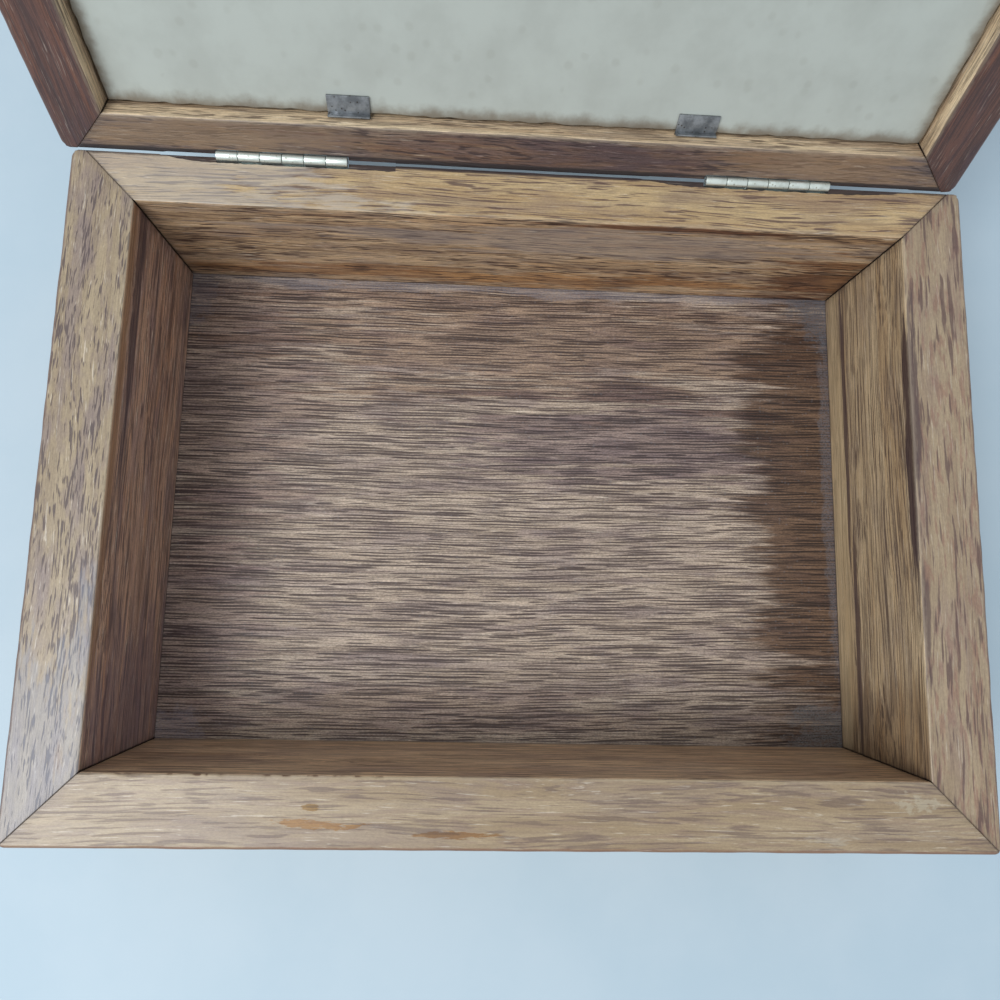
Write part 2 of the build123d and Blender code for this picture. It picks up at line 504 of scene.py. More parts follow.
def new_group(name: str, inputs: Kinds, outputs: Kinds) -> tuple[Tree, Node, Node]:
    """Starts a shader node group.

    Args:
        name: The group's name.
        inputs: Its inputs' names under each kind.
        outputs: Its outputs' names under each kind.

    Returns:
        The tree's writer, its input node and its output node.
    """
    tree = bpy.data.node_groups.new(name, "ShaderNodeTree")
    add_sockets(tree, "INPUT", inputs)
    add_sockets(tree, "OUTPUT", outputs)
    writer = Tree(tree)
    return writer, writer.node("NodeGroupInput"), writer.node("NodeGroupOutput")


def oak_figure_group() -> bpy.types.NodeTree:
    """Oak seen close: growth bands, coloured streaks, clusters of pore dashes, fine lines, stain, painted glints and
    fibre.

    Returns:
        The group, which reads a place in the board and puts out a colour, a height and the pores.
    """
    inputs = {
        "Vector": ("Grain", "Wander", "BandSize", "StreakSize", "DashSize", "LineSize"),
        "Color": ("Pale", "Warm", "Streak", "Dark", "Cloud"),
        "Float": ("Band", "Streaking", "Dash", "Line", "Clouding", "Glint", "Fibre", "Grit"),
    }
    t, given, out = new_group("Oak figure", inputs, {"Color": ("Color",), "Float": ("Height", "Pores")})
    want = given.outputs
    half = (0.5, 0.5, 0.5)
    slow = t.noise(want["Grain"], (0.075, 0.013, 0.013), detail=1.0)
    drift = t.vector("MULTIPLY", t.vector("SUBTRACT", slow.outputs["Color"], half), want["Wander"])
    place = t.vector("ADD", want["Grain"], drift)
    quick = t.noise(place, (0.005, 0.0012, 0.0012), detail=2.0)
    shake = t.vector("MULTIPLY", t.vector("SUBTRACT", quick.outputs["Color"], half), (0.0014, 0.0003, 0.0003))
    ragged = t.vector("ADD", place, shake)

    def layer(size: object, start: float, end: float, detail: float = 2.0, rough: float = 0.6) -> Socket:
        """Marks where noise with cells of one size passes a level."""
        return t.span(t.noise(ragged, size, detail, rough).outputs["Fac"], start, end)

    band = layer(want["BandSize"], 0.38, 0.62, 3.0)
    streak = layer(want["StreakSize"], 0.5, 0.62, 3.0)
    cloud = layer((0.026, 0.006, 0.006), 0.46, 0.64, 4.0)
    line = layer(want["LineSize"], 0.48, 0.41)
    # Painted glints: pale flecks of light mixed into the colour.
    painted_highlight_flecks = layer((0.009, 0.00045, 0.00045), 0.61, 0.7)
    cluster = t.noise(place, (0.03, 0.004, 0.004), detail=2.0).outputs["Fac"]
    dash_cells = t.noise(ragged, want["DashSize"], detail=1.5, rough=0.45).outputs["Fac"]
    dash = t.span(t.math("ADD", dash_cells, t.math("MULTIPLY_ADD", cluster, 0.5, -0.25)), 0.45, 0.34)
    fibre = t.noise(place, (0.011, 0.0003, 0.0003), detail=3.0, rough=0.7).outputs["Fac"]
    pores = t.math("MAXIMUM", t.math("MULTIPLY", dash, want["Dash"]), t.math("MULTIPLY", line, want["Line"]))
    pores = t.math("MULTIPLY", pores, t.math("MULTIPLY_ADD", fibre, -1.6, 1.9, clamp=True))

    colour = want["Pale"]
    layers = (
        (band, "Band", want["Warm"]), (streak, "Streaking", want["Streak"]), (cloud, "Clouding", want["Cloud"]),
        # The pale colour of the painted glints.
        (painted_highlight_flecks, "Glint", tone(236, 226, 208)),
    )
    for shown, share, over in layers:
        colour = t.mix(t.math("MULTIPLY", shown, want[share]), colour, over)
    colour = t.mix(pores, colour, want["Dark"])
    grit = t.noise(want["Grain"], (0.0009, 0.0004, 0.0004), detail=2.0, rough=0.7).outputs["Fac"]
    uneven = t.math("MULTIPLY_ADD", t.math("SUBTRACT", grit, 0.5), want["Grit"], 1.0)
    shade = t.math("MULTIPLY_ADD", t.math("SUBTRACT", fibre, 0.5), want["Fibre"], uneven)
    colour = t.vector("MULTIPLY", colour, t.joined(shade, shade, shade))
    t.filled(out, Color=colour, Height=t.math("SUBTRACT", t.math("MULTIPLY", fibre, 0.8), pores), Pores=pores)
    return t.tree


def edge_wear_and_light_group() -> bpy.types.NodeTree:
    """Arrises: a pale band on the inner one, partly wear and partly painted highlight; a dark line on the outer one,
    partly stain and partly painted shade; grimy mitres and chips; all read from the mesh's own edge values.

    Returns:
        The group, which puts out a colour and how rough the surface is there.
    """
    inputs = {
        "Color": ("Color", "InnerTone", "OuterTone", "JointTone"),
        "Vector": ("Edges", "Grain"),
        "Float": ("Chips", "Inner", "Outer", "Joint"),
    }
    t, given, out = new_group("Edge wear and painted light", inputs, {"Color": ("Color",), "Float": ("Rough",)})
    want = given.outputs
    edges = t.parts(want["Edges"])
    torn = t.noise(want["Grain"], (0.004, 0.0014, 0.0014), detail=3.0, rough=0.65).outputs["Fac"]
    sway = t.math("MULTIPLY_ADD", torn, 0.34, -0.17)
    inner = t.span(t.math("ADD", edges.outputs["X"], sway), 0.78, 0.93)
    outer = t.span(t.math("ADD", edges.outputs["Y"], t.math("MULTIPLY", sway, 0.5)), 0.8, 0.92)
    joint = t.span(t.math("ADD", edges.outputs["Z"], t.math("MULTIPLY", sway, 0.35)), 0.92, 0.995)
    halo = t.span(t.math("ADD", edges.outputs["Z"], sway), 0.55, 1.05)
    # Pale band along the inner arris: partly wear, partly painted highlight.
    colour = t.mix(t.math("MULTIPLY", inner, want["Inner"]), want["Color"], want["InnerTone"])
    # Dark line along the outer arris: partly stain, partly painted shade.
    colour = t.mix(t.math("MULTIPLY", outer, want["Outer"]), colour, want["OuterTone"])
    colour = t.mix(t.math("MULTIPLY", halo, t.math("MULTIPLY", want["Joint"], 0.3)), colour, want["JointTone"])
    colour = t.mix(t.math("MULTIPLY", joint, want["Joint"]), colour, want["JointTone"])
    chip = t.span(t.math("ADD", want["Chips"], t.math("MULTIPLY", sway, 2.0)), 0.3, 0.7)
    colour = t.mix(chip, colour, tone(104, 76, 56))
    t.filled(out, Color=colour, Rough=t.math("MAXIMUM", chip, t.math("MULTIPLY", inner, 0.5)))
    return t.tree


def patch_group() -> bpy.types.NodeTree:
    """A soft-edged patch round one place, with a ragged border.

    Returns:
        The group, which puts out how much of the patch shows.
    """
    inputs = {"Vector": ("Place", "Centre", "Reach", "RagSize"), "Float": ("Ragged",)}
    t, given, out = new_group("Patch", inputs, {"Float": ("Share",)})
    want = given.outputs
    away = t.vector("DIVIDE", t.vector("SUBTRACT", want["Place"], want["Centre"]), want["Reach"])
    torn = t.noise(want["Place"], want["RagSize"], detail=3.0, rough=0.6).outputs["Fac"]
    broad = t.vector("MULTIPLY", want["RagSize"], (4.0, 4.0, 4.0))
    bays = t.noise(want["Place"], broad, detail=1.0).outputs["Fac"]
    edge = t.math("SUBTRACT", t.math("ADD", torn, bays), 1.0)
    distance = t.math("MULTIPLY_ADD", edge, want["Ragged"], t.vector("LENGTH", away))
    t.filled(out, Share=t.span(distance, 1.0, 0.6))
    return t.tree


def speckle_group() -> bpy.types.NodeTree:
    """Fine uneven tarnish and dust, for metal and board.

    Returns:
        The group, which puts out cloudy and speckled shares.
    """
    inputs = {"Vector": ("Place",), "Float": ("Size",)}
    t, given, out = new_group("Speckle", inputs, {"Float": ("Cloud", "Spots")})
    want = given.outputs
    size = t.joined(want["Size"], want["Size"], want["Size"])
    cloud = t.span(t.noise(want["Place"], size, detail=4.0, rough=0.6).outputs["Fac"], 0.35, 0.7)
    place = t.vector("DIVIDE", want["Place"], t.vector("MULTIPLY", size, (0.3, 0.3, 0.3)))
    dots = t.filled(t.node("ShaderNodeTexVoronoi"), Vector=place, Scale=1.0)
    chance = t.parts(dots.outputs["Color"]).outputs["X"]
    near = t.span(dots.outputs["Distance"], 0.4, 0.15)
    t.filled(out, Cloud=cloud, Spots=t.math("MULTIPLY", near, t.span(chance, 0.72, 0.85)))
    return t.tree


class Effects:
    """The shader node groups that materials share, each made once."""

    figure = oak_figure_group()
    wear = edge_wear_and_light_group()
    patch = patch_group()
    speckle = speckle_group()


class Surface(Tree):
    """A material with one Principled shader."""

    def __init__(self, name: str) -> None:
        """Starts a material.

        Args:
            name: The material's name.
        """
        self.material = bpy.data.materials.new(name)
        self.material.use_nodes = True
        super().__init__(self.material.node_tree)
        self.shader = self.node("ShaderNodeBsdfPrincipled")
        self.node("ShaderNodeOutputMaterial", self.shader.outputs[0])

    def set(self, **values: object) -> None:
        """Fills the shader's inputs, written with _ for a space."""
        self.filled(self.shader, **values)

    def bump(self, height: Socket, distance: float, strength: float) -> None:
        """Raises the surface by a height, whose full share stands out by a distance."""
        made = self.filled(self.node("ShaderNodeBump"), Height=height, Distance=distance, Strength=strength)
        self.set(Normal=made.outputs[0])

    def place(self) -> Socket:
        """The piece's own object coordinates."""
        return self.node("ShaderNodeTexCoord").outputs["Object"]

    def patched(self, colour: Socket, place: Socket, patches: Sequence["Patch"]) -> Socket:
        """Lays stains, dust, and painted shade, sheen and highlights over a colour.

        Args:
            colour: The colour below.
            place: Where the patches' places are measured.
            patches: The patches, lowest first.

        Returns:
            The colour with the patches.
        """
        for patch in patches:
            amount = self.group(
                Effects.patch, Place=place, Centre=scaled(patch.centre), Reach=scaled(patch.reach),
                Ragged=patch.ragged, RagSize=grained(*patch.rag_size),
            ).outputs["Share"]
            amount = self.math("MULTIPLY", amount, patch.share)
            if patch.grit:
                grains = self.noise(place, grained(0.7, 0.45), detail=3.0, rough=0.7).outputs["Fac"]
                amount = self.math("MULTIPLY", amount, self.span(grains, 0.4, 0.6, 1 - patch.grit, 1.0))
            colour = self.mix(amount, colour, tone(*patch.colour), patch.blend)
        return colour


@dataclass(frozen=True)
class Patch:
    """A patch of colour on one board, in millimetres along its own axes: stains and dust, and also painted shade, sheen
    and highlights. Its colour has display values.
    """

    centre: Triple
    reach: Triple
    colour: Triple
    share: float = 1.0
    ragged: float = 0.6
    rag_size: Pair = (8.0, 1.2)
    blend: str = "MIX"
    grit: float = 0.0


@dataclass(frozen=True)
class OakFinish:
    """Stained and varnished oak with painted glints, and with painted highlight and shade along its arrises: display
    colours, and cell sizes in millimetres along and across the grain.
    """

    name: str
    pale: Triple
    warm: Triple
    dark: Triple
    cloud: Triple
    # Arris colours: the inner one is wear with painted highlight, the outer one stain with painted shade.
    inner_wear_and_highlight: Triple = (196, 180, 152)
    outer_stain_and_shade: Triple = (98, 74, 66)
    joint_tone: Triple = (44, 32, 30)
    streak: Triple = (150, 112, 78)
    wander: Pair = (0.0, 6.0)
    band_size: Pair = (70.0, 5.0)
    streak_size: Pair = (90.0, 3.0)
    dash_size: Pair = (10.0, 1.4)
    line_size: Pair = (34.0, 0.8)
    band: float = 0.7
    streaking: float = 0.3
    dash: float = 0.5
    line: float = 0.35
    clouding: float = 0.4
    # How much of the painted glints shows.
    painted_glint: float = 0.15
    fibre: float = 1.1
    grit: float = 0.6
    # How strongly the inner arris's painted highlight and the outer arris's painted shade show, with their wear and
    # stain.
    inner: float = 0.2
    outer: float = 0.8
    joint: float = 0.9
    gloss: float = 0.42
    patches: tuple[Patch, ...] = ()

    def figured(self, s: Surface, grain: Socket) -> Node:
        """Adds the wood's figure.

        Args:
            s: The material.
            grain: Where the figure is read.

        Returns:
            The figure's group, with outputs Color, Height and Pores.
        """
        sizes = {"Wander": self.wander, "BandSize": self.band_size, "StreakSize": self.streak_size,
                 "DashSize": self.dash_size, "LineSize": self.line_size}
        tones = {"Pale": self.pale, "Warm": self.warm, "Streak": self.streak, "Dark": self.dark, "Cloud": self.cloud}
        given = {label: grained(*size) for label, size in sizes.items()}
        given |= {label: tone(*colour) for label, colour in tones.items()}
        return s.group(
            Effects.figure, Grain=grain, Band=self.band, Streaking=self.streaking, Dash=self.dash, Line=self.line,
            Clouding=self.clouding, Glint=self.painted_glint, Fibre=self.fibre, Grit=self.grit, **given,
        )

    def material(self) -> Material:
        """Builds the material.

        Returns:
            The material, which reads the board's own grain and edge values.
        """
        s = Surface(self.name)
        grain = s.attribute("grain").outputs["Vector"]
        edges = s.attribute("edges")
        figure = self.figured(s, grain)
        colour = s.patched(figure.outputs["Color"], s.attribute("board").outputs["Vector"], self.patches)
        # Lays the arrises' wear and stain together with their painted highlight and painted shade.
        wear = s.group(
            Effects.wear, Color=colour, Edges=edges.outputs["Color"], Chips=edges.outputs["Alpha"], Grain=grain,
            InnerTone=tone(*self.inner_wear_and_highlight), OuterTone=tone(*self.outer_stain_and_shade), JointTone=tone(*self.joint_tone),
            Inner=self.inner, Outer=self.outer, Joint=self.joint,
        )
        rough = s.math("MULTIPLY_ADD", figure.outputs["Pores"], 0.2, self.gloss)
        rough = s.math("MULTIPLY_ADD", wear.outputs["Rough"], 0.25, rough)
        s.set(Base_Color=wear.outputs["Color"], Roughness=rough, Coat_Weight=0.35, Coat_Roughness=0.28, IOR=1.5)
        s.bump(figure.outputs["Height"], 0.12 * MM, 0.7)
        return s.material


# Oak boards in mitred rings


@dataclass(frozen=True)
class Arrises:
    """Edge radii of a board, and how its mitres close, in millimetres."""

    top_inner: float
    top_outer: float
    low_outer: float
    low_inner: float
    corner: float = 2.2
    crisp: float = 0.15
    unevenness: float = 0.22
    groove: float = 0.13
    groove_reach: float = 0.24
    seam: float = 0.03


@dataclass(frozen=True)
class Chips:
    """Small breaks along the inner arris: where, how many and how deep, in millimetres."""

    low: float = 0.0
    high: float = 0.0
    count: int = 0
    depth: float = 0.35
    half_length: float = 0.8


@dataclass(frozen=True)
class Ring:
    """Four mitred boards round an opening, with a rabbet along their lower inner edges."""

    inner_low: Vector
    inner_high: Vector
    outer_low: Vector
    outer_high: Vector
    rabbet_width: float
    rabbet_height: float
    turn: Matrix
    body: Body

    @classmethod
    def read(cls, body: Body, word: str, rabbet: Pair, turn: Matrix = Matrix.Identity(4)) -> "Ring":
        """Measures a ring from its four CAD nodes.

        Args:
            body: The body that it belongs to.
            word: What the nodes call its boards.
            rabbet: The rabbet's width and height, in millimetres.
            turn: What carries the ring, as it is drawn, to where it rests.

        Returns:
            The ring.
        """
        back = turn.inverted()
        front, rear, left, right = (Span.of(f"{body.value}_{side.value}_{word}", back) for side in Side)
        inner = Vector((left.high.x, front.high.y, front.low.z)), Vector((right.low.x, rear.low.y, front.high.z))
        outer = Vector((left.low.x, front.low.y, front.low.z)), Vector((right.high.x, rear.high.y, front.high.z))
        return cls(*inner, *outer, *scaled(rabbet), turn, body)

    @property
    def middle(self) -> Vector:
        """The middle of the opening."""
        return (self.inner_low + self.inner_high) / 2

    @property
    def height(self) -> float:
        """How tall the boards stand."""
        return self.outer_high.z - self.outer_low.z

    def thickness(self, side: Side) -> float:
        """How thick a board is.

        Args:
            side: Which board.

        Returns:
            Its thickness.
        """
        return {
            Side.FRONT: self.inner_low.y - self.outer_low.y,
            Side.BACK: self.outer_high.y - self.inner_high.y,
            Side.LEFT: self.inner_low.x - self.outer_low.x,
            Side.RIGHT: self.outer_high.x - self.inner_high.x,
        }[side]

    def lies_across(self, side: Side) -> bool:
        """Whether a board runs along X."""
        return side in (Side.FRONT, Side.BACK)

    def run(self, side: Side) -> float:
        """The board's length along the opening."""
        opening = self.inner_high - self.inner_low
        return opening.x if self.lies_across(side) else opening.y

    def axes(self, side: Side) -> Matrix:
        """The board's own axes, along, outwards and up, before the turn.

        Args:
            side: Which board.

        Returns:
            A matrix from those axes, whose origin is the middle of the lower inner edge.
        """
        middle, low, high = self.middle, self.inner_low, self.inner_high
        origin, along, outward = {
            Side.FRONT: ((middle.x, low.y), (1, 0), (0, -1)),
            Side.BACK: ((middle.x, high.y), (1, 0), (0, 1)),
            Side.LEFT: ((low.x, middle.y), (0, 1), (-1, 0)),
            Side.RIGHT: ((high.x, middle.y), (0, 1), (1, 0)),
        }[side]
        matrix = Matrix.Identity(4)
        matrix.col[0] = (*along, 0, 0)
        matrix.col[1] = (*outward, 0, 0)
        matrix.col[3] = (*origin, low.z, 1)
        return matrix

    def neighbours(self, side: Side) -> tuple[float, float]:
        """How thick the boards at a board's two ends are.

        Args:
            side: Which board.

        Returns:
            Their two thicknesses.
        """
        if self.lies_across(side):
            return self.thickness(Side.LEFT), self.thickness(Side.RIGHT)
        return self.thickness(Side.FRONT), self.thickness(Side.BACK)

    def reaches(self, side: Side) -> tuple[float, float]:
        """How far outwards the mitre runs at the board's two ends, where its neighbour may be thinner."""
        own = self.thickness(side)
        return tuple(min(own, beside) for beside in self.neighbours(side))


class Board:
    """One oak board, swept along its grain with worn arrises and mitred ends."""

    step = 0.9 * MM
    face_step = 1.25 * MM
    arc_steps = 6
    end_steps = 30
    end_zone = 3.0 * MM
    edge_reach = 6.0 * MM
    flatness = 0.035 * MM
    face_depth = 0.3 * MM
    wear_length = 22 * MM
    nick_length = 4 * MM
    drift_length = 30 * MM
    groove_length = 5 * MM
    nick_seed = 10
    drift_seed = 30
    groove_seed = 40
    chip_seed = 70
    chip_lengths = 0.4, 1.6
    chip_depths = 0.35, 1.0
    chip_start = 0.86
    chip_fade = 0.1
    mean_radius = 1.2
    radius_range = 1.0, 1.7
    nick_share = 0.2
    drift_share = 0.6
    groove_share = 0.45
    end_ease = 1.6
    wide_slope = 0.71
    cut_slot = 2

    def __init__(self, ring: Ring, side: Side, arrises: Arrises, seed: int, chips: Chips = Chips()) -> None:
        """Sets out a board.

        Args:
            ring: The ring that it is part of.
            side: Which side it is on.
            arrises: Its edge radii.
            seed: Which irregularities it has.
            chips: The breaks along its inner arris.
        """
        self.ring, self.side, self.arrises, self.seed, self.chips = ring, side, arrises, seed, chips
        self.thickness, self.height, self.run = ring.thickness(side), ring.height, ring.run(side)
        self.reaches = ring.reaches(side)
        self.neighbours = ring.neighbours(side)
        self.matrix = ring.turn @ ring.axes(side)

    def chip_depth(self, along: np.ndarray) -> np.ndarray:
        """How deep the inner arris is broken, as a share of the deepest chip.

        Args:
            along: Places along the board.

        Returns:
            One share for each.
        """
        rng = np.random.default_rng(self.seed + self.chip_seed)
        total = np.zeros_like(along)
        for _ in range(self.chips.count):
            centre = rng.uniform(self.chips.low, self.chips.high) * MM
            half = self.chips.half_length * MM * rng.uniform(*self.chip_lengths)
            total += rng.uniform(*self.chip_depths) * np.exp(-(((along - centre) / half) ** 4))
        return np.clip(total, 0, 1)

    def profile(self, along: np.ndarray) -> np.ndarray:
        """The board's outline across the grain at each station.

        Args:
            along: The stations' places.

        Returns:
            An array of stations by outline points by two: outwards and up.
        """
        wide, tall = self.thickness, self.height
        inset, lift = self.ring.rabbet_width, self.ring.rabbet_height
        corners = np.array([(0, tall), (wide, tall), (wide, 0), (inset, 0), (inset, lift), (0, lift)])
        sizes = self.arrises
        nominal = [sizes.top_inner, sizes.top_outer, sizes.low_outer, sizes.low_inner, sizes.crisp, sizes.crisp]
        places = along[:, None]
        count = len(corners)
        outline = []
        for index, corner in enumerate(corners):
            wear = wander(places, self.wear_length, self.seed + index)
            nicks = wander(places, self.nick_length, self.seed + index + self.nick_seed)
            uneven = sizes.unevenness * wear + self.nick_share * sizes.unevenness * nicks
            radius = nominal[index] * MM * np.clip(self.mean_radius + uneven, *self.radius_range)
            if index in (0, 3):
                radius = radius + self.chips.depth * MM * self.chip_depth(along)
            back = unit(corners[index - 1] - corner)
            ahead = unit(corners[(index + 1) % count] - corner)
            radius = radius[:, None]
            centre = corner + (back + ahead) * radius
            for angle in quarter_turn(self.arc_steps):
                outline.append(centre - ahead * radius * math.cos(angle) - back * radius * math.sin(angle))
            following = corners[(index + 1) % count]
            start = corner + ahead * radius
            next_radius = nominal[(index + 1) % count] * MM
            finish = following - ahead * next_radius
            length = float(np.linalg.norm(following - corner))
            inner_points = max(1, round(length / self.face_step))
            for part in range(1, inner_points):
                share = part / inner_points
                outline.append(start * (1 - share) + finish * share)
        return np.stack(outline, axis=1)

    def surface(self) -> tuple[np.ndarray, list[list[int]]]:
        """Sweeps the outline along the board and closes both ends.

        Returns:
            The vertices in the board's own axes, and the faces.
        """
        core = self.run / 2 - self.end_zone
        core_stations = np.linspace(-core, core, round(2 * core / self.step) + 1)
        shares = 1 - (1 - np.arange(1, self.end_steps + 1) / self.end_steps) ** self.end_ease
        low_end = [(-core, share, 0) for share in shares[::-1]]
        high_end = [(core, share, 1) for share in shares]
        stations = [(value, 0.0, 0) for value in core_stations]
        seam = [(-core, None, 0)] + low_end + stations + high_end + [(core, None, 1)]
        along = np.array([place for place, _, _ in seam])
        outline = self.snapped(self.profile(along))
        normals = outward_normals(outline)
        sizes = self.arrises
        flat = np.full(outline.shape[:2], along[:, None])
        for row, (place, share, end) in enumerate(seam):
            sign = 1 if place > 0 else -1
            if share == 0.0:
                continue
            reach = np.minimum(outline[row, :, 0], self.reaches[end])
            finish = self.run / 2 + reach
            groove = finish - sizes.groove_reach * MM
            if share is None:
                flat[row] = sign * (finish - sizes.seam * MM)
            else:
                flat[row] = sign * (core + share * (groove - core))
        grid = np.concatenate([flat[:, :, None], outline], axis=2)
        spread = grid.reshape(-1, 3)
        drift = wander(spread, self.drift_length, self.seed + self.drift_seed)
        drift = self.flatness * (1 + self.drift_share * drift).clip(0, 2)
        grid[:, :, 1:] -= normals * drift.reshape(grid.shape[:2])[:, :, None]
        depth = wander(grid[0], self.groove_length, self.seed + self.groove_seed)
        depth = sizes.groove * MM * (1 + self.groove_share * depth)
        grid[0, :, 1:] -= normals[0] * depth[:, None]
        grid[-1, :, 1:] -= normals[-1] * depth[:, None]
        self.round_corners(grid)
        rows, count = grid.shape[:2]
        faces = []
        for row in range(rows - 1):
            base = row * count
            for place in range(count):
                ahead = (place + 1) % count
                faces.append([base + place, base + ahead, base + count + ahead, base + count + place])
        faces += self.caps(outline, 0, count, 0) + self.caps(outline, rows - 1, count, 1)
        return grid.reshape(-1, 3), faces

    def snapped(self, outline: np.ndarray) -> np.ndarray:
        """Moves the outline points nearest each mitre's outer end onto it.

        Args:
            outline: The outline at every station.

        Returns:
            The outline with those points moved.
        """
        for reach in set(self.reaches):
            if self.stops_short(reach):
                for index in self.split(outline, reach):
                    outline[:, index, 0] = reach
        return outline

    def stops_short(self, reach: float) -> bool:
        """Whether a mitre ends before the board's outer face, at a thinner neighbour."""
        return reach < self.thickness - self.step

    def split(self, outline: np.ndarray, reach: float) -> tuple[int, int]:
        """Finds the outline points on the upper and lower faces that lie nearest a reach.

        Args:
            outline: The outline at every station.
            reach: How far outwards they lie.

        Returns:
            The upper and the lower point's numbers.
        """
        places = outline[len(outline) // 2]
        away = abs(places[:, 0] - reach)
        upper = np.where(places[:, 1] > self.height - self.face_depth, away, 1.0)
        lower = np.where(places[:, 1] < self.face_depth, away, 1.0)
        return int(upper.argmin()), int(lower.argmin())

    def caps(self, outline: np.ndarray, row: int, count: int, end: int) -> list[list[int]]:
        """Closes one end, in two faces where the mitre stops short of the outer face.

        Args:
            outline: The outline at every station.
            row: The end's row of vertices.
            count: How many vertices a row has.
            end: 0 for the low end and 1 for the high end.

        Returns:
            The faces.
        """
        loop = [row * count + place for place in range(count)]
        if not self.stops_short(self.reaches[end]):
            return [loop]
        upper, lower = self.split(outline, self.reaches[end])
        return [loop[upper:lower + 1], loop[lower:] + loop[:upper + 1]]

    def round_corners(self, grid: np.ndarray) -> None:
        """Rounds the ring's upright corners at both ends of the board.

        Args:
            grid: The board's vertices, which are changed.
        """
        radius = self.arrises.corner * MM
        for end, sign in ((0, -1), (1, 1)):
            centre_along = self.run / 2 + self.neighbours[end] - radius
            centre_out = self.thickness - radius
            along = sign * grid[:, :, 0] - centre_along
            out = grid[:, :, 1] - centre_out
            inside = (along > 0) & (out > 0)
            length = np.sqrt(along**2 + out**2)
            factor = np.maximum(along, out) / np.where(length > 0, length, 1)
            grid[:, :, 0] = np.where(inside, sign * (centre_along + along * factor), grid[:, :, 0])
            grid[:, :, 1] = np.where(inside, centre_out + out * factor, grid[:, :, 1])

    def build(self, word: str, cutters: Sequence[Piece], *materials: Material) -> None:
        """Makes the board and dresses it.

        Args:
            word: What the ring calls its boards.
            cutters: What is cut out of it, in the part's frame.
            materials: The finishes of its narrow faces, its wide faces and its cuts, whose dark oak is painted shade.
        """
        points, faces = self.surface()
        name = f"{self.side.value}_{word}"
        piece = new_piece(name, moved(points, self.matrix), faces, *materials)
        if cutters:
            carved(piece, cutters, self.cut_slot)
        self.dress(piece)
        settled(piece, self.ring.body, f"{self.ring.body.value}_{name}")

    def dress(self, piece: Piece) -> None:
        """Writes the grain and edge values on the vertices, and picks each face's material.

        Args:
            piece: The board.
        """
        inverse = self.matrix.inverted()
        local = moved(vertices_of(piece), inverse)
        along, out, up = local.T
        rng = np.random.default_rng(self.seed)
        set_values(piece, "board", local)
        set_values(piece, "grain", local + rng.uniform(0, 3, 3))
        inset = self.ring.rabbet_width
        inner = np.minimum(np.hypot(out, up - self.height), np.hypot(out - inset, up))
        outer = np.minimum(np.hypot(out - self.thickness, up - self.height), np.hypot(out - self.thickness, up))
        reaches = np.where(along > 0, self.reaches[1], self.reaches[0])
        joint = (self.run / 2 + np.minimum(out, reaches) - abs(along)) / math.sqrt(2)
        near = [1 - np.clip(distance / self.edge_reach, 0, 1) for distance in (inner, outer, joint)]
        chips = self.chip_depth(along) * np.clip((near[0] - self.chip_start) / self.chip_fade, 0, 1)
        set_values(piece, "edges", np.stack(near + [chips], axis=1))
        sides = piece.data.polygons
        outward = (rows_of(sides, "normal") @ np.array(inverse.to_3x3()).T)[:, 1]
        chosen = np.empty(len(sides), np.int32)
        sides.foreach_get("material_index", chosen)
        chosen = np.where(chosen == self.cut_slot, chosen, abs(outward) > self.wide_slope)
        sides.foreach_set("material_index", chosen.astype(np.int32))


def unit(vector: np.ndarray) -> np.ndarray:
    """A vector of length one."""
    return vector / np.linalg.norm(vector)


def outward_normals(outline: np.ndarray) -> np.ndarray:
    """The outward direction at each point of closed outlines that run clockwise.

    Args:
        outline: Stations by points by two.

    Returns:
        Directions of the same shape.
    """
    tangent = np.roll(outline, -1, axis=1) - np.roll(outline, 1, axis=1)
    normal = np.stack([-tangent[:, :, 1], tangent[:, :, 0]], axis=2)
    return normal / np.maximum(np.linalg.norm(normal, axis=2, keepdims=True), 1e-12)


# The box and the lid


@dataclass(frozen=True)
class RunOut:
    """How far a relief runs past its hinge, and over what length it fades, in millimetres."""

    overrun: float
    fade: float


@dataclass(frozen=True)
class Relief:
    """The shallow cut along the back arris on both sides of a hinge, in millimetres."""

    start: RunOut
    end: RunOut
    drop: float = 0.5
    box_width: float = 2.0
    lid_width: float = 1.2
    margin: float = 2.0
    ragged: float = 0.1
    ragged_length: float = 4.0
    step: float = 0.8
    overcut: float = 0.2
    seed: int = 50

    def cutter(
        self, hinge_start: float, hinge_end: float, width: float, back: float, levels: Sequence[float]
    ) -> Piece:
        """The shape that is cut away, which runs out in arcs except at a square end.

        Args:
            hinge_start: Where the hinge starts.
            hinge_end: Where it ends.
            width: How wide the cut is, in millimetres.
            back: The back face's place along Y.
            levels: The cut's lower and upper levels.

        Returns:
            The cutter.
        """
        start, end = hinge_start - self.start.overrun * MM, hinge_end + self.end.overrun * MM
        deep = width * MM
        places = np.append(np.arange(start, end, self.step * MM), end)
        rise = np.zeros_like(places)
        for fade, gap in ((self.start.fade, start - places), (self.end.fade, places - end)):
            if fade:
                run = fade * MM
                radius = (run**2 + deep**2) / (2 * deep)
                rise = np.maximum(rise, radius - np.sqrt(radius**2 - np.clip(gap + run, 0, None) ** 2))
        rough = wander(places[:, None], self.ragged_length * MM, self.seed + round(width))
        floor = back - deep + rise + self.ragged * MM * rough
        plan = [(x, min(y, back + self.overcut * MM)) for x, y in zip(places, floor)]
        outside = back + self.margin * MM
        return prism("relief", plan + [(end, outside), (start, outside)], *levels)


RELIEFS = {
    Hand.LEFT: Relief(start=RunOut(17.0, 16.0), end=RunOut(14.0, 0.0)),
    Hand.RIGHT: Relief(start=RunOut(20.0, 18.0), end=RunOut(28.0, 25.0)),
}


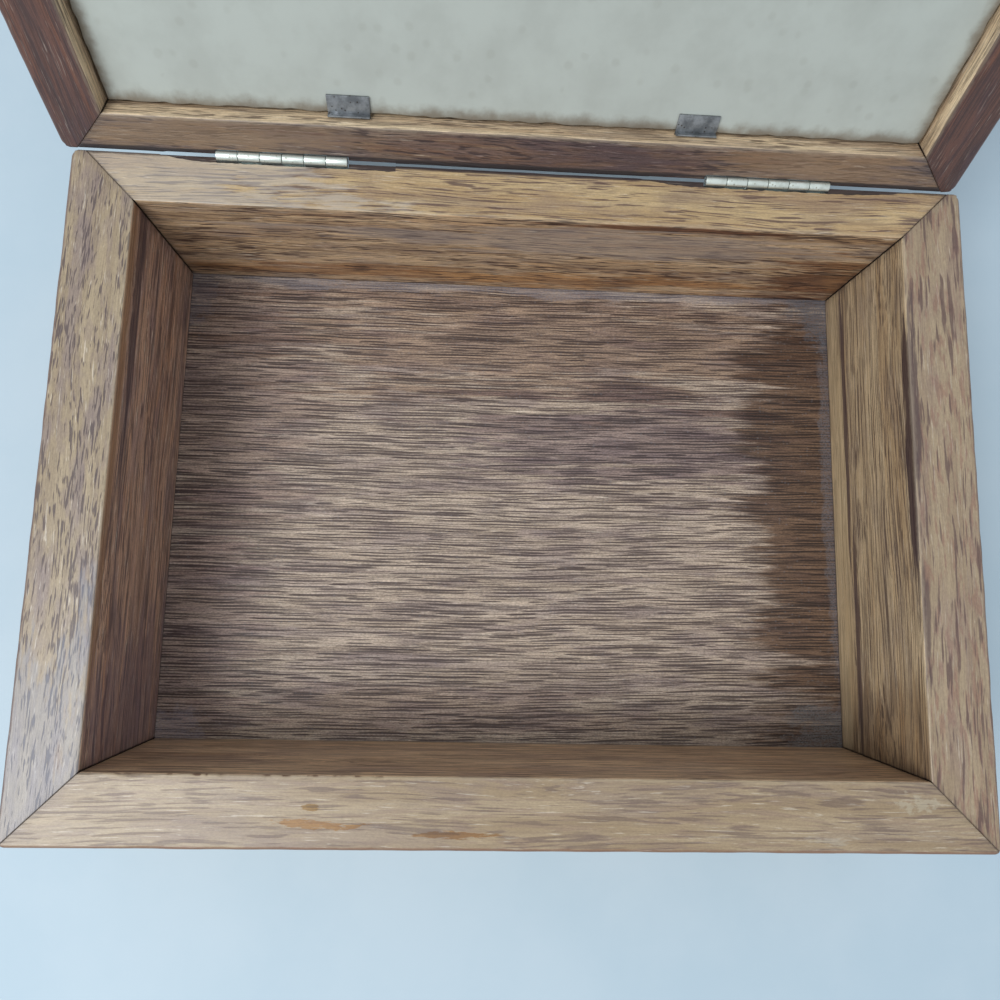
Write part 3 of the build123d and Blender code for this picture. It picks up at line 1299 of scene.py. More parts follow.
@dataclass(frozen=True)
class Screw:
    """A countersunk slotted screw, in millimetres, pointing down from its head's top at zero."""

    head_radius: float = 2.2
    head_rim: float = 0.15
    shank_radius: float = 1.2
    length: float = 9.4
    tip_length: float = 3.0
    tip_radius: float = 0.2
    slot_width: float = 0.6
    slot_depth: float = 0.4
    fit: float = 0.05
    head_room: float = 2.0
    thread_pitch: float = 1.15
    thread_depth: float = 0.3
    thread_step: float = 0.16
    bare_shank: float = 1.0
    thread_start: float = 0.6
    thread_end: float = 1.2
    least_radius: float = 0.3
    softness: float = 0.06
    face_ring: float = 0.8
    rim_inset: float = 0.02
    rim_drop: float = 0.03
    slot_overrun: float = 0.5
    segments: int = 28

    def hole(self, place: Matrix) -> Piece:
        """The clearance for the screw, from above its head into the wood.

        Args:
            place: Where the screw stands.

        Returns:
            The cutter.
        """
        grow = self.fit
        neck = -self.head_rim - (self.head_radius - self.shank_radius)
        outline = [
            (0, self.head_room),
            (self.head_radius + grow, self.head_room),
            (self.head_radius + grow, -self.head_rim),
            (self.shank_radius + grow, neck),
            (self.shank_radius + grow, self.tip_length - self.length),
            (self.tip_radius + grow, -self.length - grow),
            (0, -self.length - grow),
        ]
        hole = lathe("screw hole", outline, self.segments)
        hole.data.transform(place)
        return hole

    def body(self, material: Material) -> Piece:
        """One screw with a cut thread and a slot.

        Args:
            material: Its finish.

        Returns:
            The screw, at the origin.
        """
        head, rim, shank = self.head_radius, self.head_rim, self.shank_radius
        neck = -rim - (head - shank)
        soft = self.softness
        outline = [(0, 0), (head - self.face_ring, 0), (head - soft, 0), (head - self.rim_inset, -self.rim_drop)]
        outline += [(head, -soft), (head, -rim), (shank, neck)]
        thread_top = neck - self.bare_shank
        steps = round((thread_top + self.length) / self.thread_step)
        for step in range(steps + 1):
            height = thread_top - step * (thread_top + self.length) / steps
            share = min(1.0, max(0.0, (height + self.length) / self.tip_length))
            outline.append((self.tip_radius + (shank - self.tip_radius) * share, height))
        outline.append((0, -self.length))
        screw = lathe("screw", outline, self.segments, material)
        points = vertices_of(screw) / MM
        turn = np.arctan2(points[:, 1], points[:, 0]) / math.tau
        wave = 0.5 + 0.5 * np.cos(math.tau * (points[:, 2] / self.thread_pitch - turn))
        fade = np.clip((thread_top - points[:, 2]) / self.thread_start, 0, 1)
        fade *= np.clip((points[:, 2] + self.length) / self.thread_end, 0, 1)
        radius = np.hypot(points[:, 0], points[:, 1])
        factor = 1 - self.thread_depth * wave * fade / np.maximum(radius, self.least_radius)
        points[:, :2] *= factor[:, None]
        screw.data.vertices.foreach_set("co", (points * MM).astype(np.float32).ravel())
        reach = head + self.slot_overrun
        half = self.slot_width / 2
        low = (-reach * MM, -half * MM, -self.slot_depth * MM)
        slot = brick("slot", low, (reach * MM, half * MM, self.slot_overrun * MM))
        carved(screw, [slot])
        return screw


def lathe(name: str, outline: Sequence[Pair], segments: int, *materials: Material) -> Piece:
    """Spins an outline round Z into a closed shape.

    Args:
        name: The object's name.
        outline: Radius and height of each point in millimetres, from one pole to the other.
        segments: How many sides the shape has.
        materials: Its finishes.

    Returns:
        The shape.
    """
    rings = outline[1:-1]
    angles = np.arange(segments) / segments * math.tau
    points = [(0.0, 0.0, outline[0][1])]
    for radius, height in rings:
        points += [(radius * math.cos(a), radius * math.sin(a), height) for a in angles]
    points.append((0.0, 0.0, outline[-1][1]))
    last = len(points) - 1
    faces = []
    for place in range(segments):
        ahead = (place + 1) % segments
        faces.append((0, 1 + place, 1 + ahead))
        base = 1 + (len(rings) - 1) * segments
        faces.append((last, base + ahead, base + place))
        for ring in range(len(rings) - 1):
            near, far = 1 + ring * segments, 1 + (ring + 1) * segments
            faces.append((near + place, far + place, far + ahead, near + ahead))
    return new_piece(name, np.array(points) * MM, faces, *materials)


class GeometryTree(Tree):
    """Writes a geometry node tree that sets out copies of a part."""

    def __init__(self, name: str, inputs: Kinds) -> None:
        """Starts a tree.

        Args:
            name: The tree's name.
            inputs: The named inputs of each kind, besides the part.
        """
        super().__init__(bpy.data.node_groups.new(name, "GeometryNodeTree"))
        self.sockets = add_sockets(self.tree, "INPUT", {"Geometry": ("Geometry",)} | inputs)
        add_sockets(self.tree, "OUTPUT", {"Geometry": ("Geometry",)})
        self.given = self.node("NodeGroupInput")
        self.out = self.node("NodeGroupOutput")

    def copies(self, start: Socket, spacing: Socket, count: object, turn: object) -> Socket:
        """Places the tree's part at the points of a line.

        Args:
            start: The first point.
            spacing: From each point to the next.
            count: How many points there are.
            turn: Each copy's turn.

        Returns:
            The copies.
        """
        line = self.filled(
            self.node("GeometryNodeMeshLine", mode="OFFSET"), Count=count, Start_Location=start, Offset=spacing,
        )
        made = self.filled(
            self.node("GeometryNodeInstanceOnPoints"), Points=line.outputs["Mesh"],
            Instance=self.given.outputs["Geometry"], Rotation=turn,
        )
        return made.outputs["Instances"]

    def finish(self, shape: Socket) -> None:
        """Makes the copies real and gives them their material.

        Args:
            shape: The copies.
        """
        real = self.node("GeometryNodeRealizeInstances", shape)
        dressed = self.filled(
            self.node("GeometryNodeSetMaterial"), Geometry=real.outputs[0], Material=self.given.outputs["Material"],
        )
        self.filled(self.out, Geometry=dressed.outputs[0])

    def apply(self, part: Piece, **values: object) -> Piece:
        """Runs the tree on a part and keeps the result as plain mesh.

        Args:
            part: The object that is repeated.
            values: The tree's inputs, with _ for a space.

        Returns:
            The same object, now holding every copy.
        """
        step = part.modifiers.new("set out", "NODES")
        step.node_group = self.tree
        for label, value in values.items():
            step[self.sockets[label.replace("_", " ")]] = value
        baked(part)
        return part


def row_tree() -> GeometryTree:
    """A row of equal parts, each with its own turn about its own axis.

    Returns:
        The tree.
    """
    inputs = {
        "Vector": ("Start", "Spacing"), "Int": ("Count", "Seed"), "Float": ("Most Turn",), "Material": ("Material",),
    }
    t = GeometryTree("Row of parts", inputs)
    want = t.given.outputs
    turn = t.filled(t.node("FunctionNodeRandomValue", data_type="FLOAT"), Seed=want["Seed"])
    t.put(turn.inputs[2], 0.0)
    t.put(turn.inputs[3], want["Most Turn"])
    euler = t.joined(0.0, 0.0, turn.outputs[1])
    t.finish(t.copies(want["Start"], want["Spacing"], want["Count"], euler))
    return t


def frame_tree() -> GeometryTree:
    """Parts round a frame: a pair on the front and back sides, and one on each other side.

    Returns:
        The tree.
    """
    inputs = {
        "Vector": ("Middle",), "Float": ("Half Length", "Half Width", "Spacing"), "Material": ("Material",),
    }
    t = GeometryTree("Parts round a frame", inputs)
    want = t.given.outputs
    half = t.math("DIVIDE", want["Spacing"], 2.0)
    step = t.joined(want["Spacing"], 0.0, 0.0)
    join = t.node("GeometryNodeJoinGeometry")
    quarter = math.pi / 2
    for sign in (1, -1):
        away = t.math("MULTIPLY", want["Half Width"], float(sign))
        corner = t.joined(t.math("MULTIPLY", half, -1.0), away, 0.0)
        pair = t.copies(t.vector("ADD", want["Middle"], corner), step, 2, (0.0, 0.0, quarter * (1 - sign)))
        end = t.joined(t.math("MULTIPLY", want["Half Length"], float(sign)), 0.0, 0.0)
        one = t.copies(t.vector("ADD", want["Middle"], end), step, 1, (0.0, 0.0, -quarter * sign))
        t.tree.links.new(pair, join.inputs[0])
        t.tree.links.new(one, join.inputs[0])
    t.finish(join.outputs[0])
    return t


def joined_piece(name: str, parts: Sequence[Piece]) -> Piece:
    """Puts several meshes that share one material into one piece.

    Args:
        name: The piece's name.
        parts: The meshes, which are used up.

    Returns:
        The piece.
    """
    work = bmesh.new()
    for part in parts:
        work.from_mesh(part.data)
    mesh = bpy.data.meshes.new(name)
    work.to_mesh(mesh)
    work.free()
    mesh.materials.append(parts[0].data.materials[0])
    used_up(parts)
    return linked(name, mesh)


def softened(piece: Piece, width: float, segments: int = 2, angle: float = 40.0) -> None:
    """Rounds a piece's sharp edges.

    Args:
        piece: The piece.
        width: How far the rounding reaches, in millimetres.
        segments: How many faces it has.
        angle: The angle in degrees past which an edge is rounded.
    """
    rounding = piece.modifiers.new("rounding", "BEVEL")
    rounding.width = width * MM
    rounding.segments = segments
    rounding.limit_method = "ANGLE"
    rounding.angle_limit = math.radians(angle)
    baked(piece)


@dataclass(frozen=True)
class HingeSizes:
    """A butt hinge's sizes, in millimetres."""

    knuckle_count: int = 6
    knuckle_gap: float = 0.2
    knuckle_radius: float = 1.5
    knuckle_clearance: float = 0.3
    bore_radius: float = 0.6
    pin_radius: float = 0.55
    pin_end_radius: float = 0.2
    pin_sides: int = 24
    pin_end_steps: int = 5
    corner_steps: int = 8
    sheet_slack: float = 0.01
    leaf_thickness: float = 0.9
    leaf_corner_radius: float = 1.2
    leaf_edge_radius: float = 0.12
    curl_end: float = 105.0
    curl_steps: int = 34
    mortise_clearance: float = 0.2
    screw_spacing: float = 24.0
    screw_drop: float = 7.4


@dataclass(frozen=True)
class Hinge:
    """One butt hinge: two leaves with rolled knuckles, a pin and four screws."""

    hand: Hand
    sizes: HingeSizes = HingeSizes()
    screw: Screw = Screw()

    @property
    def span(self) -> Span:
        """The box leaf's span."""
        return Span.of(f"hinge_{self.hand.value}_box_leaf")

    @property
    def centre(self) -> Vector:
        """The middle of the hinge on its pin."""
        return Vector((self.span.centre.x, PIN_AXIS.y, PIN_AXIS.z))

    @property
    def length(self) -> float:
        """The hinge's length."""
        return self.span.size.x

    @property
    def leaf_width(self) -> float:
        """How far a leaf reaches from the pin."""
        return PIN_AXIS.z - self.span.low.z

    @property
    def leaf_face(self) -> float:
        """The leaf's outer face, along Y from the pin."""
        return (self.sizes.leaf_thickness - self.sizes.knuckle_radius) * MM

    def cutters(self, ring: Ring, up: int) -> list[Piece]:
        """What the hinge takes out of a back board.

        Args:
            ring: The ring that the board is in.
            up: 1 for the lid and -1 for the box.

        Returns:
            The cutters, in the part's frame.
        """
        sizes, relief = self.sizes, RELIEFS[self.hand]
        margin = relief.margin * MM
        half = self.length / 2
        back = ring.outer_high.y
        edge = ring.outer_low.z if up > 0 else ring.outer_high.z
        past_edge = edge - up * margin
        width = relief.lid_width if up > 0 else relief.box_width
        levels = sorted((past_edge, edge + up * relief.drop * MM))
        cuts = [relief.cutter(self.centre.x - half, self.centre.x + half, width, back, levels)]
        knuckle_reach = (sizes.knuckle_radius + sizes.knuckle_clearance) * MM
        clear = sizes.mortise_clearance * MM
        for deep, reach in ((knuckle_reach, knuckle_reach), (sizes.knuckle_radius * MM, self.leaf_width + clear)):
            low, high = sorted((past_edge, PIN_AXIS.z + up * reach))
            corner = (self.centre.x - half - clear, PIN_AXIS.y - deep, low)
            cuts.append(brick("mortise", corner, (self.centre.x + half + clear, back + margin, high)))
        cuts += [self.screw.hole(place) for place in self.screw_places(up)]
        for cut in cuts:
            cut.data.transform(ring.turn)
        return cuts

    def screw_places(self, up: int) -> list[Matrix]:
        """Where one leaf's two screws stand, before the lid opens.

        Args:
            up: 1 for the lid's leaf and -1 for the box's.

        Returns:
            Their places, with each head's top at the leaf's outer face.
        """
        turn = Matrix.Rotation(-math.pi / 2, 4, "X")
        drop = up * self.sizes.screw_drop * MM
        half = self.sizes.screw_spacing * MM / 2
        places = [self.centre + Vector((side * half, self.leaf_face, drop)) for side in (-1, 1)]
        return [Matrix.Translation(place) @ turn for place in places]

    def plate(self, up: int, material: Material) -> Piece:
        """A leaf's flat plate with rounded far corners and countersunk holes.

        Args:
            up: 1 for the lid's leaf and -1 for the box's.
            material: Its finish.

        Returns:
            The plate, in the closed part's frame.
        """
        sizes = self.sizes
        half, far = self.length / 2, self.leaf_width
        near = (sizes.knuckle_radius + sizes.knuckle_clearance) * MM
        radius = sizes.leaf_corner_radius * MM
        plan = [(half, near)]
        for side in (1, -1):
            arc = [
                (side * (half - radius + radius * math.cos(angle)), far - radius + radius * math.sin(angle))
                for angle in quarter_turn(sizes.corner_steps)
            ]
            plan += arc if side > 0 else arc[::-1]
        plan.append((-half, near))
        plate = prism("plate", plan, -sizes.knuckle_radius * MM, self.leaf_face, material)
        softened(plate, sizes.leaf_edge_radius)
        stand = Matrix(((1, 0, 0, 0), (0, 0, 1, 0), (0, up, 0, 0), (0, 0, 0, 1)))
        plate.data.transform(Matrix.Translation(self.centre) @ stand)
        turned_out(plate)
        carved(plate, [self.screw.hole(place) for place in self.screw_places(up)])
        return plate

    def knuckles(self, up: int, row: GeometryTree, material: Material) -> Piece:
        """A leaf's three rolled knuckles: the leaf's own sheet, curled round the pin.

        Args:
            up: 1 for the lid's leaf and -1 for the box's.
            row: The tree that repeats them.
            material: Their finish.

        Returns:
            The knuckles, in the closed part's frame.
        """
        sizes = self.sizes
        outer, inner = sizes.knuckle_radius, sizes.bore_radius
        end = math.radians(180 + sizes.curl_end)
        angles = np.linspace(0, end, sizes.curl_steps)
        tail = -(outer + sizes.knuckle_clearance + sizes.leaf_thickness)
        hair = sizes.sheet_slack
        around = [(-outer * math.cos(a), outer * math.sin(a)) for a in angles]
        back = [(-inner * math.cos(a), inner * math.sin(a)) for a in angles[::-1]]
        outline = [(-outer + hair, tail)] + around + back + [(-inner - hair, tail)]
        pitch = self.length / sizes.knuckle_count
        wide = pitch - sizes.knuckle_gap * MM
        plan = [(y * MM, -up * z * MM) for y, z in outline]
        knuckle = prism("knuckle", plan, 0.0, wide, material)
        softened(knuckle, sizes.leaf_edge_radius, segments=3, angle=50.0)
        knuckle.data.transform(Matrix(((0, 0, 1, 0), (1, 0, 0, 0), (0, 1, 0, 0), (0, 0, 0, 1))))
        turned_out(knuckle)
        first = 1 if up > 0 else 0
        start = self.centre + Vector((-self.length / 2 + first * pitch + sizes.knuckle_gap * MM / 2, 0, 0))
        return row.apply(
            knuckle, Start=tuple(start), Spacing=(2 * pitch, 0.0, 0.0), Count=sizes.knuckle_count // 2,
            Most_Turn=0.0, Seed=1, Material=material,
        )

    def build(self, row: GeometryTree, metals: dict[Slot, Material]) -> None:
        """Makes both leaves, the pin and the screws.

        Args:
            row: The tree that repeats knuckles and screws.
            metals: The finishes.
        """
        hand, metal = self.hand.value, metals[Slot.HINGE]
        for body, up in ((Body.BOX, -1), (Body.LID, 1)):
            turn = OPEN if body is Body.LID else Matrix.Identity(4)
            name = f"{hand}_{body.value}"
            leaf = joined_piece(f"{name}_leaf", [self.plate(up, metal), self.knuckles(up, row, metal)])
            leaf.data.transform(turn)
            settled(leaf, body, f"hinge_{name}_leaf")
            screws = self.screws(f"{name}_screws", up, row, metals[Slot.SCREW], turn)
            settled(screws, body, f"hinge_{name}_screws")
        self.pin(metals[Slot.PIN])

    def screws(self, name: str, up: int, row: GeometryTree, material: Material, turn: Matrix) -> Piece:
        """Makes one leaf's two screws, whose slots stand at odd angles.

        Args:
            name: The piece's name.
            up: 1 for the lid's leaf and -1 for the box's.
            row: The tree that repeats them.
            material: Their finish.
            turn: What carries them to where they rest.

        Returns:
            The screws.
        """
        screws = self.screw.body(material)
        spacing = self.sizes.screw_spacing * MM
        seed = 3 + up + 5 * len(self.hand.value)
        row.apply(
            screws, Start=(-spacing / 2, 0.0, 0.0), Spacing=(spacing, 0.0, 0.0), Count=2, Most_Turn=math.pi,
            Seed=seed, Material=material,
        )
        height = Vector((0, self.leaf_face, up * self.sizes.screw_drop * MM))
        place = Matrix.Translation(self.centre + height) @ Matrix.Rotation(-math.pi / 2, 4, "X")
        screws.data.transform(turn @ place)
        screws.name = screws.data.name = name
        return screws

    def pin(self, material: Material) -> None:
        """Makes the pin, with rounded ends.

        Args:
            material: Its finish.
        """
        radius, rounding = self.sizes.pin_radius, self.sizes.pin_end_radius
        half = self.length / MM / 2
        angles = quarter_turn(self.sizes.pin_end_steps)
        end = [(radius - rounding + rounding * math.sin(a), half - rounding + rounding * math.cos(a)) for a in angles]
        outline = [(0.0, half)] + end + [(r, -h) for r, h in end[::-1]] + [(0.0, -half)]
        pin = lathe(f"{self.hand.value}_pin", outline, self.sizes.pin_sides, material)
        pin.data.transform(Matrix.Translation(self.centre) @ Matrix.Rotation(math.pi / 2, 4, "Y"))
        settled(pin, Body.BOX, f"hinge_{self.hand.value}_pin")


@dataclass(frozen=True)
class PushPoints:
    """The flat steel points that hold the backing board, in millimetres."""

    width: float = 12.0
    thickness: float = 0.6
    reach: float = 6.0
    depth: float = 5.0
    tip_width: float = 5.0
    flange_height: float = 2.2
    flange_standoff: float = 0.4
    clearance: float = 0.05
    spacing: float = 100.0
    point_rounding: float = 0.14
    flange_rounding: float = 0.2
    flange_drop: float = 0.01

    def plan(self, grow: float) -> list[Pair]:
        """A point seen from above, with its driven end at +Y.

        Args:
            grow: How much larger it is drawn, in millimetres.

        Returns:
            The outline.
        """
        half, tip, deep = self.width / 2 + grow, self.tip_width / 2 + grow, self.depth + grow
        outline = [(-half, -self.reach), (half, -self.reach), (half, 0), (tip, deep), (-tip, deep), (-half, 0)]
        return [(x * MM, y * MM) for x, y in outline]

    def level(self) -> float:
        """The backing board's face, which the points lie under, in the closed lid."""
        return Span.of("backing_board", CLOSED).low.z

    def places(self, ring: Ring, side: Side) -> list[Matrix]:
        """Where the points are driven into one rail.

        Args:
            ring: The lid's ring.
            side: Which rail.

        Returns:
            Their places in the closed lid.
        """
        middle, step = ring.middle, ring.rabbet_width
        half = self.spacing * MM / 2
        if ring.lies_across(side):
            back = side is Side.BACK
            y = ring.inner_high.y + step if back else ring.inner_low.y - step
            spots = [(middle.x - half, y), (middle.x + half, y)]
            angle = 0.0 if back else math.pi
        else:
            right = side is Side.RIGHT
            spots = [(ring.inner_high.x + step if right else ring.inner_low.x - step, middle.y)]
            angle = -math.pi / 2 if right else math.pi / 2
        turn = Matrix.Rotation(angle, 4, "Z")
        return [Matrix.Translation((x, y, self.level())) @ turn for x, y in spots]

    def slits(self, ring: Ring, side: Side) -> list[Piece]:
        """The slits that one rail's points are driven into.

        Args:
            ring: The lid's ring.
            side: Which rail.

        Returns:
            The cutters.
        """
        cuts = []
        for place in self.places(ring, side):
            thick, clear = self.thickness * MM, self.clearance * MM
            cut = prism("slit", self.plan(self.clearance), -thick - clear, clear)
            cut.data.transform(ring.turn @ place)
            cuts.append(cut)
        return cuts

    def build(self, ring: Ring, tree: GeometryTree, material: Material) -> None:
        """Makes the six points.

        Args:
            ring: The lid's ring.
            tree: The tree that sets them round the frame.
            material: Their finish.
        """
        plate = prism("point", self.plan(0.0), -self.thickness * MM, 0.0, material)
        softened(plate, self.point_rounding)
        thick, stand = self.thickness * MM, self.flange_standoff * MM
        half = self.width * MM / 2
        low = (-half, -stand - thick, -self.flange_height * MM)
        flange = brick("flange", low, (half, -stand, -self.flange_drop * MM), material)
        softened(flange, self.flange_rounding)
        points = joined_piece("push_points", [plate, flange])
        middle, size = ring.middle, (ring.inner_high - ring.inner_low) / 2
        tree.apply(
            points, Middle=(middle.x, middle.y, self.level()), Half_Length=size.x + ring.rabbet_width,
            Half_Width=size.y + ring.rabbet_width, Spacing=self.spacing * MM, Material=material,
        )
        points.data.transform(ring.turn)
        settled(points, Body.LID, "backing_points")


# Flat sheets


@dataclass(frozen=True)
class SheetForm:
    """How a flat sheet is cut: edge radius, grid, unevenness, fraying and lift, in millimetres."""

    edge_radius: float = 0.15
    step: float = 2.5
    bow: float = 0.0
    fray: float = 0.0
    bow_length: float = 45.0
    fray_length: float = 5.0
    fray_reach: float = 1.2
    lift: float = 0.0
    seed: int = 21


def sheet_piece(name: str, span: Span, form: SheetForm, material: Material) -> Piece:
    """A sheet with softened edges, a little uneven.

    Args:
        name: The piece's name.
        span: The space that it fills.
        form: How it is cut.
        material: Its finish.

    Returns:
        The sheet.
    """
    radius = form.edge_radius * MM
    lines = []
    for axis in (0, 1):
        low, high = span.low[axis], span.high[axis]
        inner = np.linspace(low + radius, high - radius, max(3, round((high - low) / (form.step * MM))))
        edge = radius * (1 - np.cos(np.array([0.0, 0.35, 0.7, 1.0]) * math.pi / 2))
        lines.append(np.concatenate([low + edge[:-1], inner, (high - edge[:-1])[::-1]]))
    x, y = np.meshgrid(lines[0], lines[1], indexing="ij")
    away = np.minimum(np.minimum(x - span.low.x, span.high.x - x), np.minimum(y - span.low.y, span.high.y - y))
    drop = radius - np.sqrt(np.clip(radius**2 - np.clip(radius - away, 0, None) ** 2, 0, None))
    flat = np.stack([x, y], axis=-1).reshape(-1, 2)
    uneven = form.bow * MM * (0.5 + 0.25 * wander(flat, form.bow_length * MM, form.seed)).clip(0, 1).reshape(x.shape)
    tatter = wander(flat, form.fray_length * MM, form.seed + 1)
    tatter = form.fray * MM * (0.5 + 0.5 * tatter).clip(0, 1).reshape(x.shape)
    tatter *= np.clip(1 - away / (form.fray_reach * MM), 0, 1)
    centre = span.centre
    half = span.size / 2
    x = centre.x + (x - centre.x) * (1 - tatter / half.x)
    y = centre.y + (y - centre.y) * (1 - tatter / half.y)
    top = np.stack([x, y, span.high.z - drop - uneven * 0.5], axis=-1).reshape(-1, 3)
    bottom = np.stack([x, y, span.low.z + drop + uneven + form.lift * MM], axis=-1).reshape(-1, 3)
    return closed_slab(name, top, bottom, x.shape, material)


def closed_slab(
    name: str, top: np.ndarray, bottom: np.ndarray, shape: tuple[int, int], *materials: Material
) -> Piece:
    """Joins an upper and a lower grid into a closed slab.

    Args:
        name: The piece's name.
        top: The upper grid's points.
        bottom: The lower grid's points.
        shape: How many points each grid has along its two directions.
        materials: Its finishes.

    Returns:
        The slab.
    """
    rows, columns = shape
    count = rows * columns
    index = np.arange(count).reshape(shape)
    upper = np.stack([index[:-1, :-1], index[1:, :-1], index[1:, 1:], index[:-1, 1:]], axis=-1).reshape(-1, 4)
    lower = upper[:, ::-1] + count
    rim = np.concatenate([index[0, :-1], index[:-1, -1], index[-1, :0:-1], index[:0:-1, 0]])
    ahead = np.roll(rim, -1)
    wall = np.stack([rim, ahead, ahead + count, rim + count], axis=-1)
    faces = np.concatenate([upper, lower, wall]).tolist()
    return new_piece(name, np.concatenate([top, bottom]), faces, *materials)


@dataclass(frozen=True)
class Veneer:
    """The floor's open-grained veneer, in millimetres."""

    row_step: float = 0.26
    column_step: float = 3.2
    pore_depth: float = 0.09
    pore_spacing: float = 0.98
    pore_length: float = 34.0
    pore_width: float = 0.24
    rise: float = 0.03
    undulation: float = 0.05
    undulation_length: float = 12.0
    sway: float = 0.25
    sway_length: float = 45.0
    shake: float = 0.04
    shake_length: float = 9.0
    margin: float = 5.0
    pore_gap: Pair = (0.3, 7.0)
    length_range: Pair = (0.2, 1.5)
    width_range: Pair = (0.6, 1.35)
    dark_range: Pair = (0.5, 1.0)
    hidden_points: int = 4
    stray: float = 0.22
    stroke_reach: float = 6.0
    seed: int = 11

    def strokes(self, x: np.ndarray, y: np.ndarray, low: Vector, high: Vector) -> np.ndarray:
        """The open pores, as long thin strokes that wander along the grain.

        Args:
            x: The grid's places along the grain.
            y: The grid's places across it.
            low: The visible floor's lowest corner.
            high: Its highest corner.

        Returns:
            The pore's share at each point.
        """
        rng = np.random.default_rng(self.seed)
        total = np.zeros_like(x)
        flat = np.stack([x.ravel(), y.ravel()], axis=-1)
        sway = self.sway * MM * wander(flat * (1, 2), self.sway_length * MM, self.seed + 1).reshape(x.shape)
        sway += self.shake * MM * wander(flat * (1, 3), self.shake_length * MM, self.seed + 2).reshape(x.shape)
        middle = (low.x + high.x) / 2
        across = y - sway - self.rise * np.clip(x - middle, 0, None)
        row_x = x[:, 0]
        margin, spacing = self.margin * MM, self.pore_spacing * MM
        for line in np.arange(low.y - margin, high.y + margin, spacing):
            cursor = low.x - rng.uniform(0, self.pore_length) * MM
            while cursor < high.x:
                reach = self.pore_length * MM * rng.uniform(*self.length_range) / 2
                place = cursor + reach
                cursor += 2 * reach + rng.uniform(*self.pore_gap) * MM
                first, last = np.searchsorted(row_x, (place - reach, place + reach))
                if last - first < 2:
                    continue
                here = line + rng.uniform(-self.stray, self.stray) * spacing
                thick = self.pore_width * MM * rng.uniform(*self.width_range)
                dark = rng.uniform(*self.dark_range)
                near = np.abs(y[0] - here) < self.stroke_reach * MM
                along = 1 - np.abs((x[first:last, near] - place) / reach) ** 3
                shape = np.clip(along, 0, 1) * np.exp(-(((across[first:last, near] - here) / thick) ** 2))
                total[first:last, near] = np.maximum(total[first:last, near], dark * shape)
        return total

    def build(self, node: str, box: Ring, top: Material, under: Material) -> None:
        """Makes the bottom panel with its pores cut into the upper face.

        Args:
            node: The CAD node that it stands for.
            box: The ring of walls that stand on it.
            top: The finish of the upper face.
            under: The finish of the underside and edges.
        """
        span = Span.of(node)
        low, high = box.inner_low, box.inner_high
        lines = []
        for axis, step in ((0, self.column_step), (1, self.row_step)):
            seen = np.linspace(low[axis], high[axis], round((high[axis] - low[axis]) / (step * MM)) + 1)
            before = np.linspace(span.low[axis], low[axis], self.hidden_points)[:-1]
            after = np.linspace(high[axis], span.high[axis], self.hidden_points)[1:]
            lines.append(np.concatenate([before, seen, after]))
        x, y = np.meshgrid(lines[0], lines[1], indexing="ij")
        pore = self.strokes(x, y, low, high)
        inside = (x >= low.x) & (x <= high.x) & (y >= low.y) & (y <= high.y)
        pore = np.where(inside, pore, 0)
        flat = np.stack([x.ravel(), y.ravel()], axis=-1)
        wave = wander(flat * (0.4, 1), self.undulation_length * MM, self.seed + 3)
        wave = (0.5 + 0.3 * wave).clip(0, 1).reshape(x.shape)
        drop = (pore * self.pore_depth + np.where(inside, wave, 0) * self.undulation) * MM
        upper = np.stack([x, y, span.high.z - drop], axis=-1).reshape(-1, 3)
        lower = np.stack([x, y, np.full_like(x, span.low.z)], axis=-1).reshape(-1, 3)
        panel = closed_slab("bottom_panel", upper, lower, x.shape, top, under)
        heights = vertices_of(panel)[:, 2]
        set_values(panel, "pore", np.where(heights > span.centre.z, np.concatenate([pore.ravel()] * 2), 0))
        sides = panel.data.polygons
        chosen = rows_of(sides, "center")[:, 2] < span.high.z - 1 * MM
        sides.foreach_set("material_index", chosen.astype(np.int32))
        self.thin_underside(panel)
        settled(panel, Body.BOX, node)

    def thin_underside(self, panel: Piece) -> None:
        """Leaves the flat underside as one face, so that the panel stays light.

        Args:
            panel: The panel, which is changed.
        """
        work = bmesh.new()
        work.from_mesh(panel.data)
        low = min(vertex.co.z for vertex in work.verts)
        flat = [face for face in work.faces if all(vertex.co.z < low + 1e-7 for vertex in face.verts)]
        bmesh.ops.dissolve_faces(work, faces=flat)
        work.to_mesh(panel.data)
        work.free()


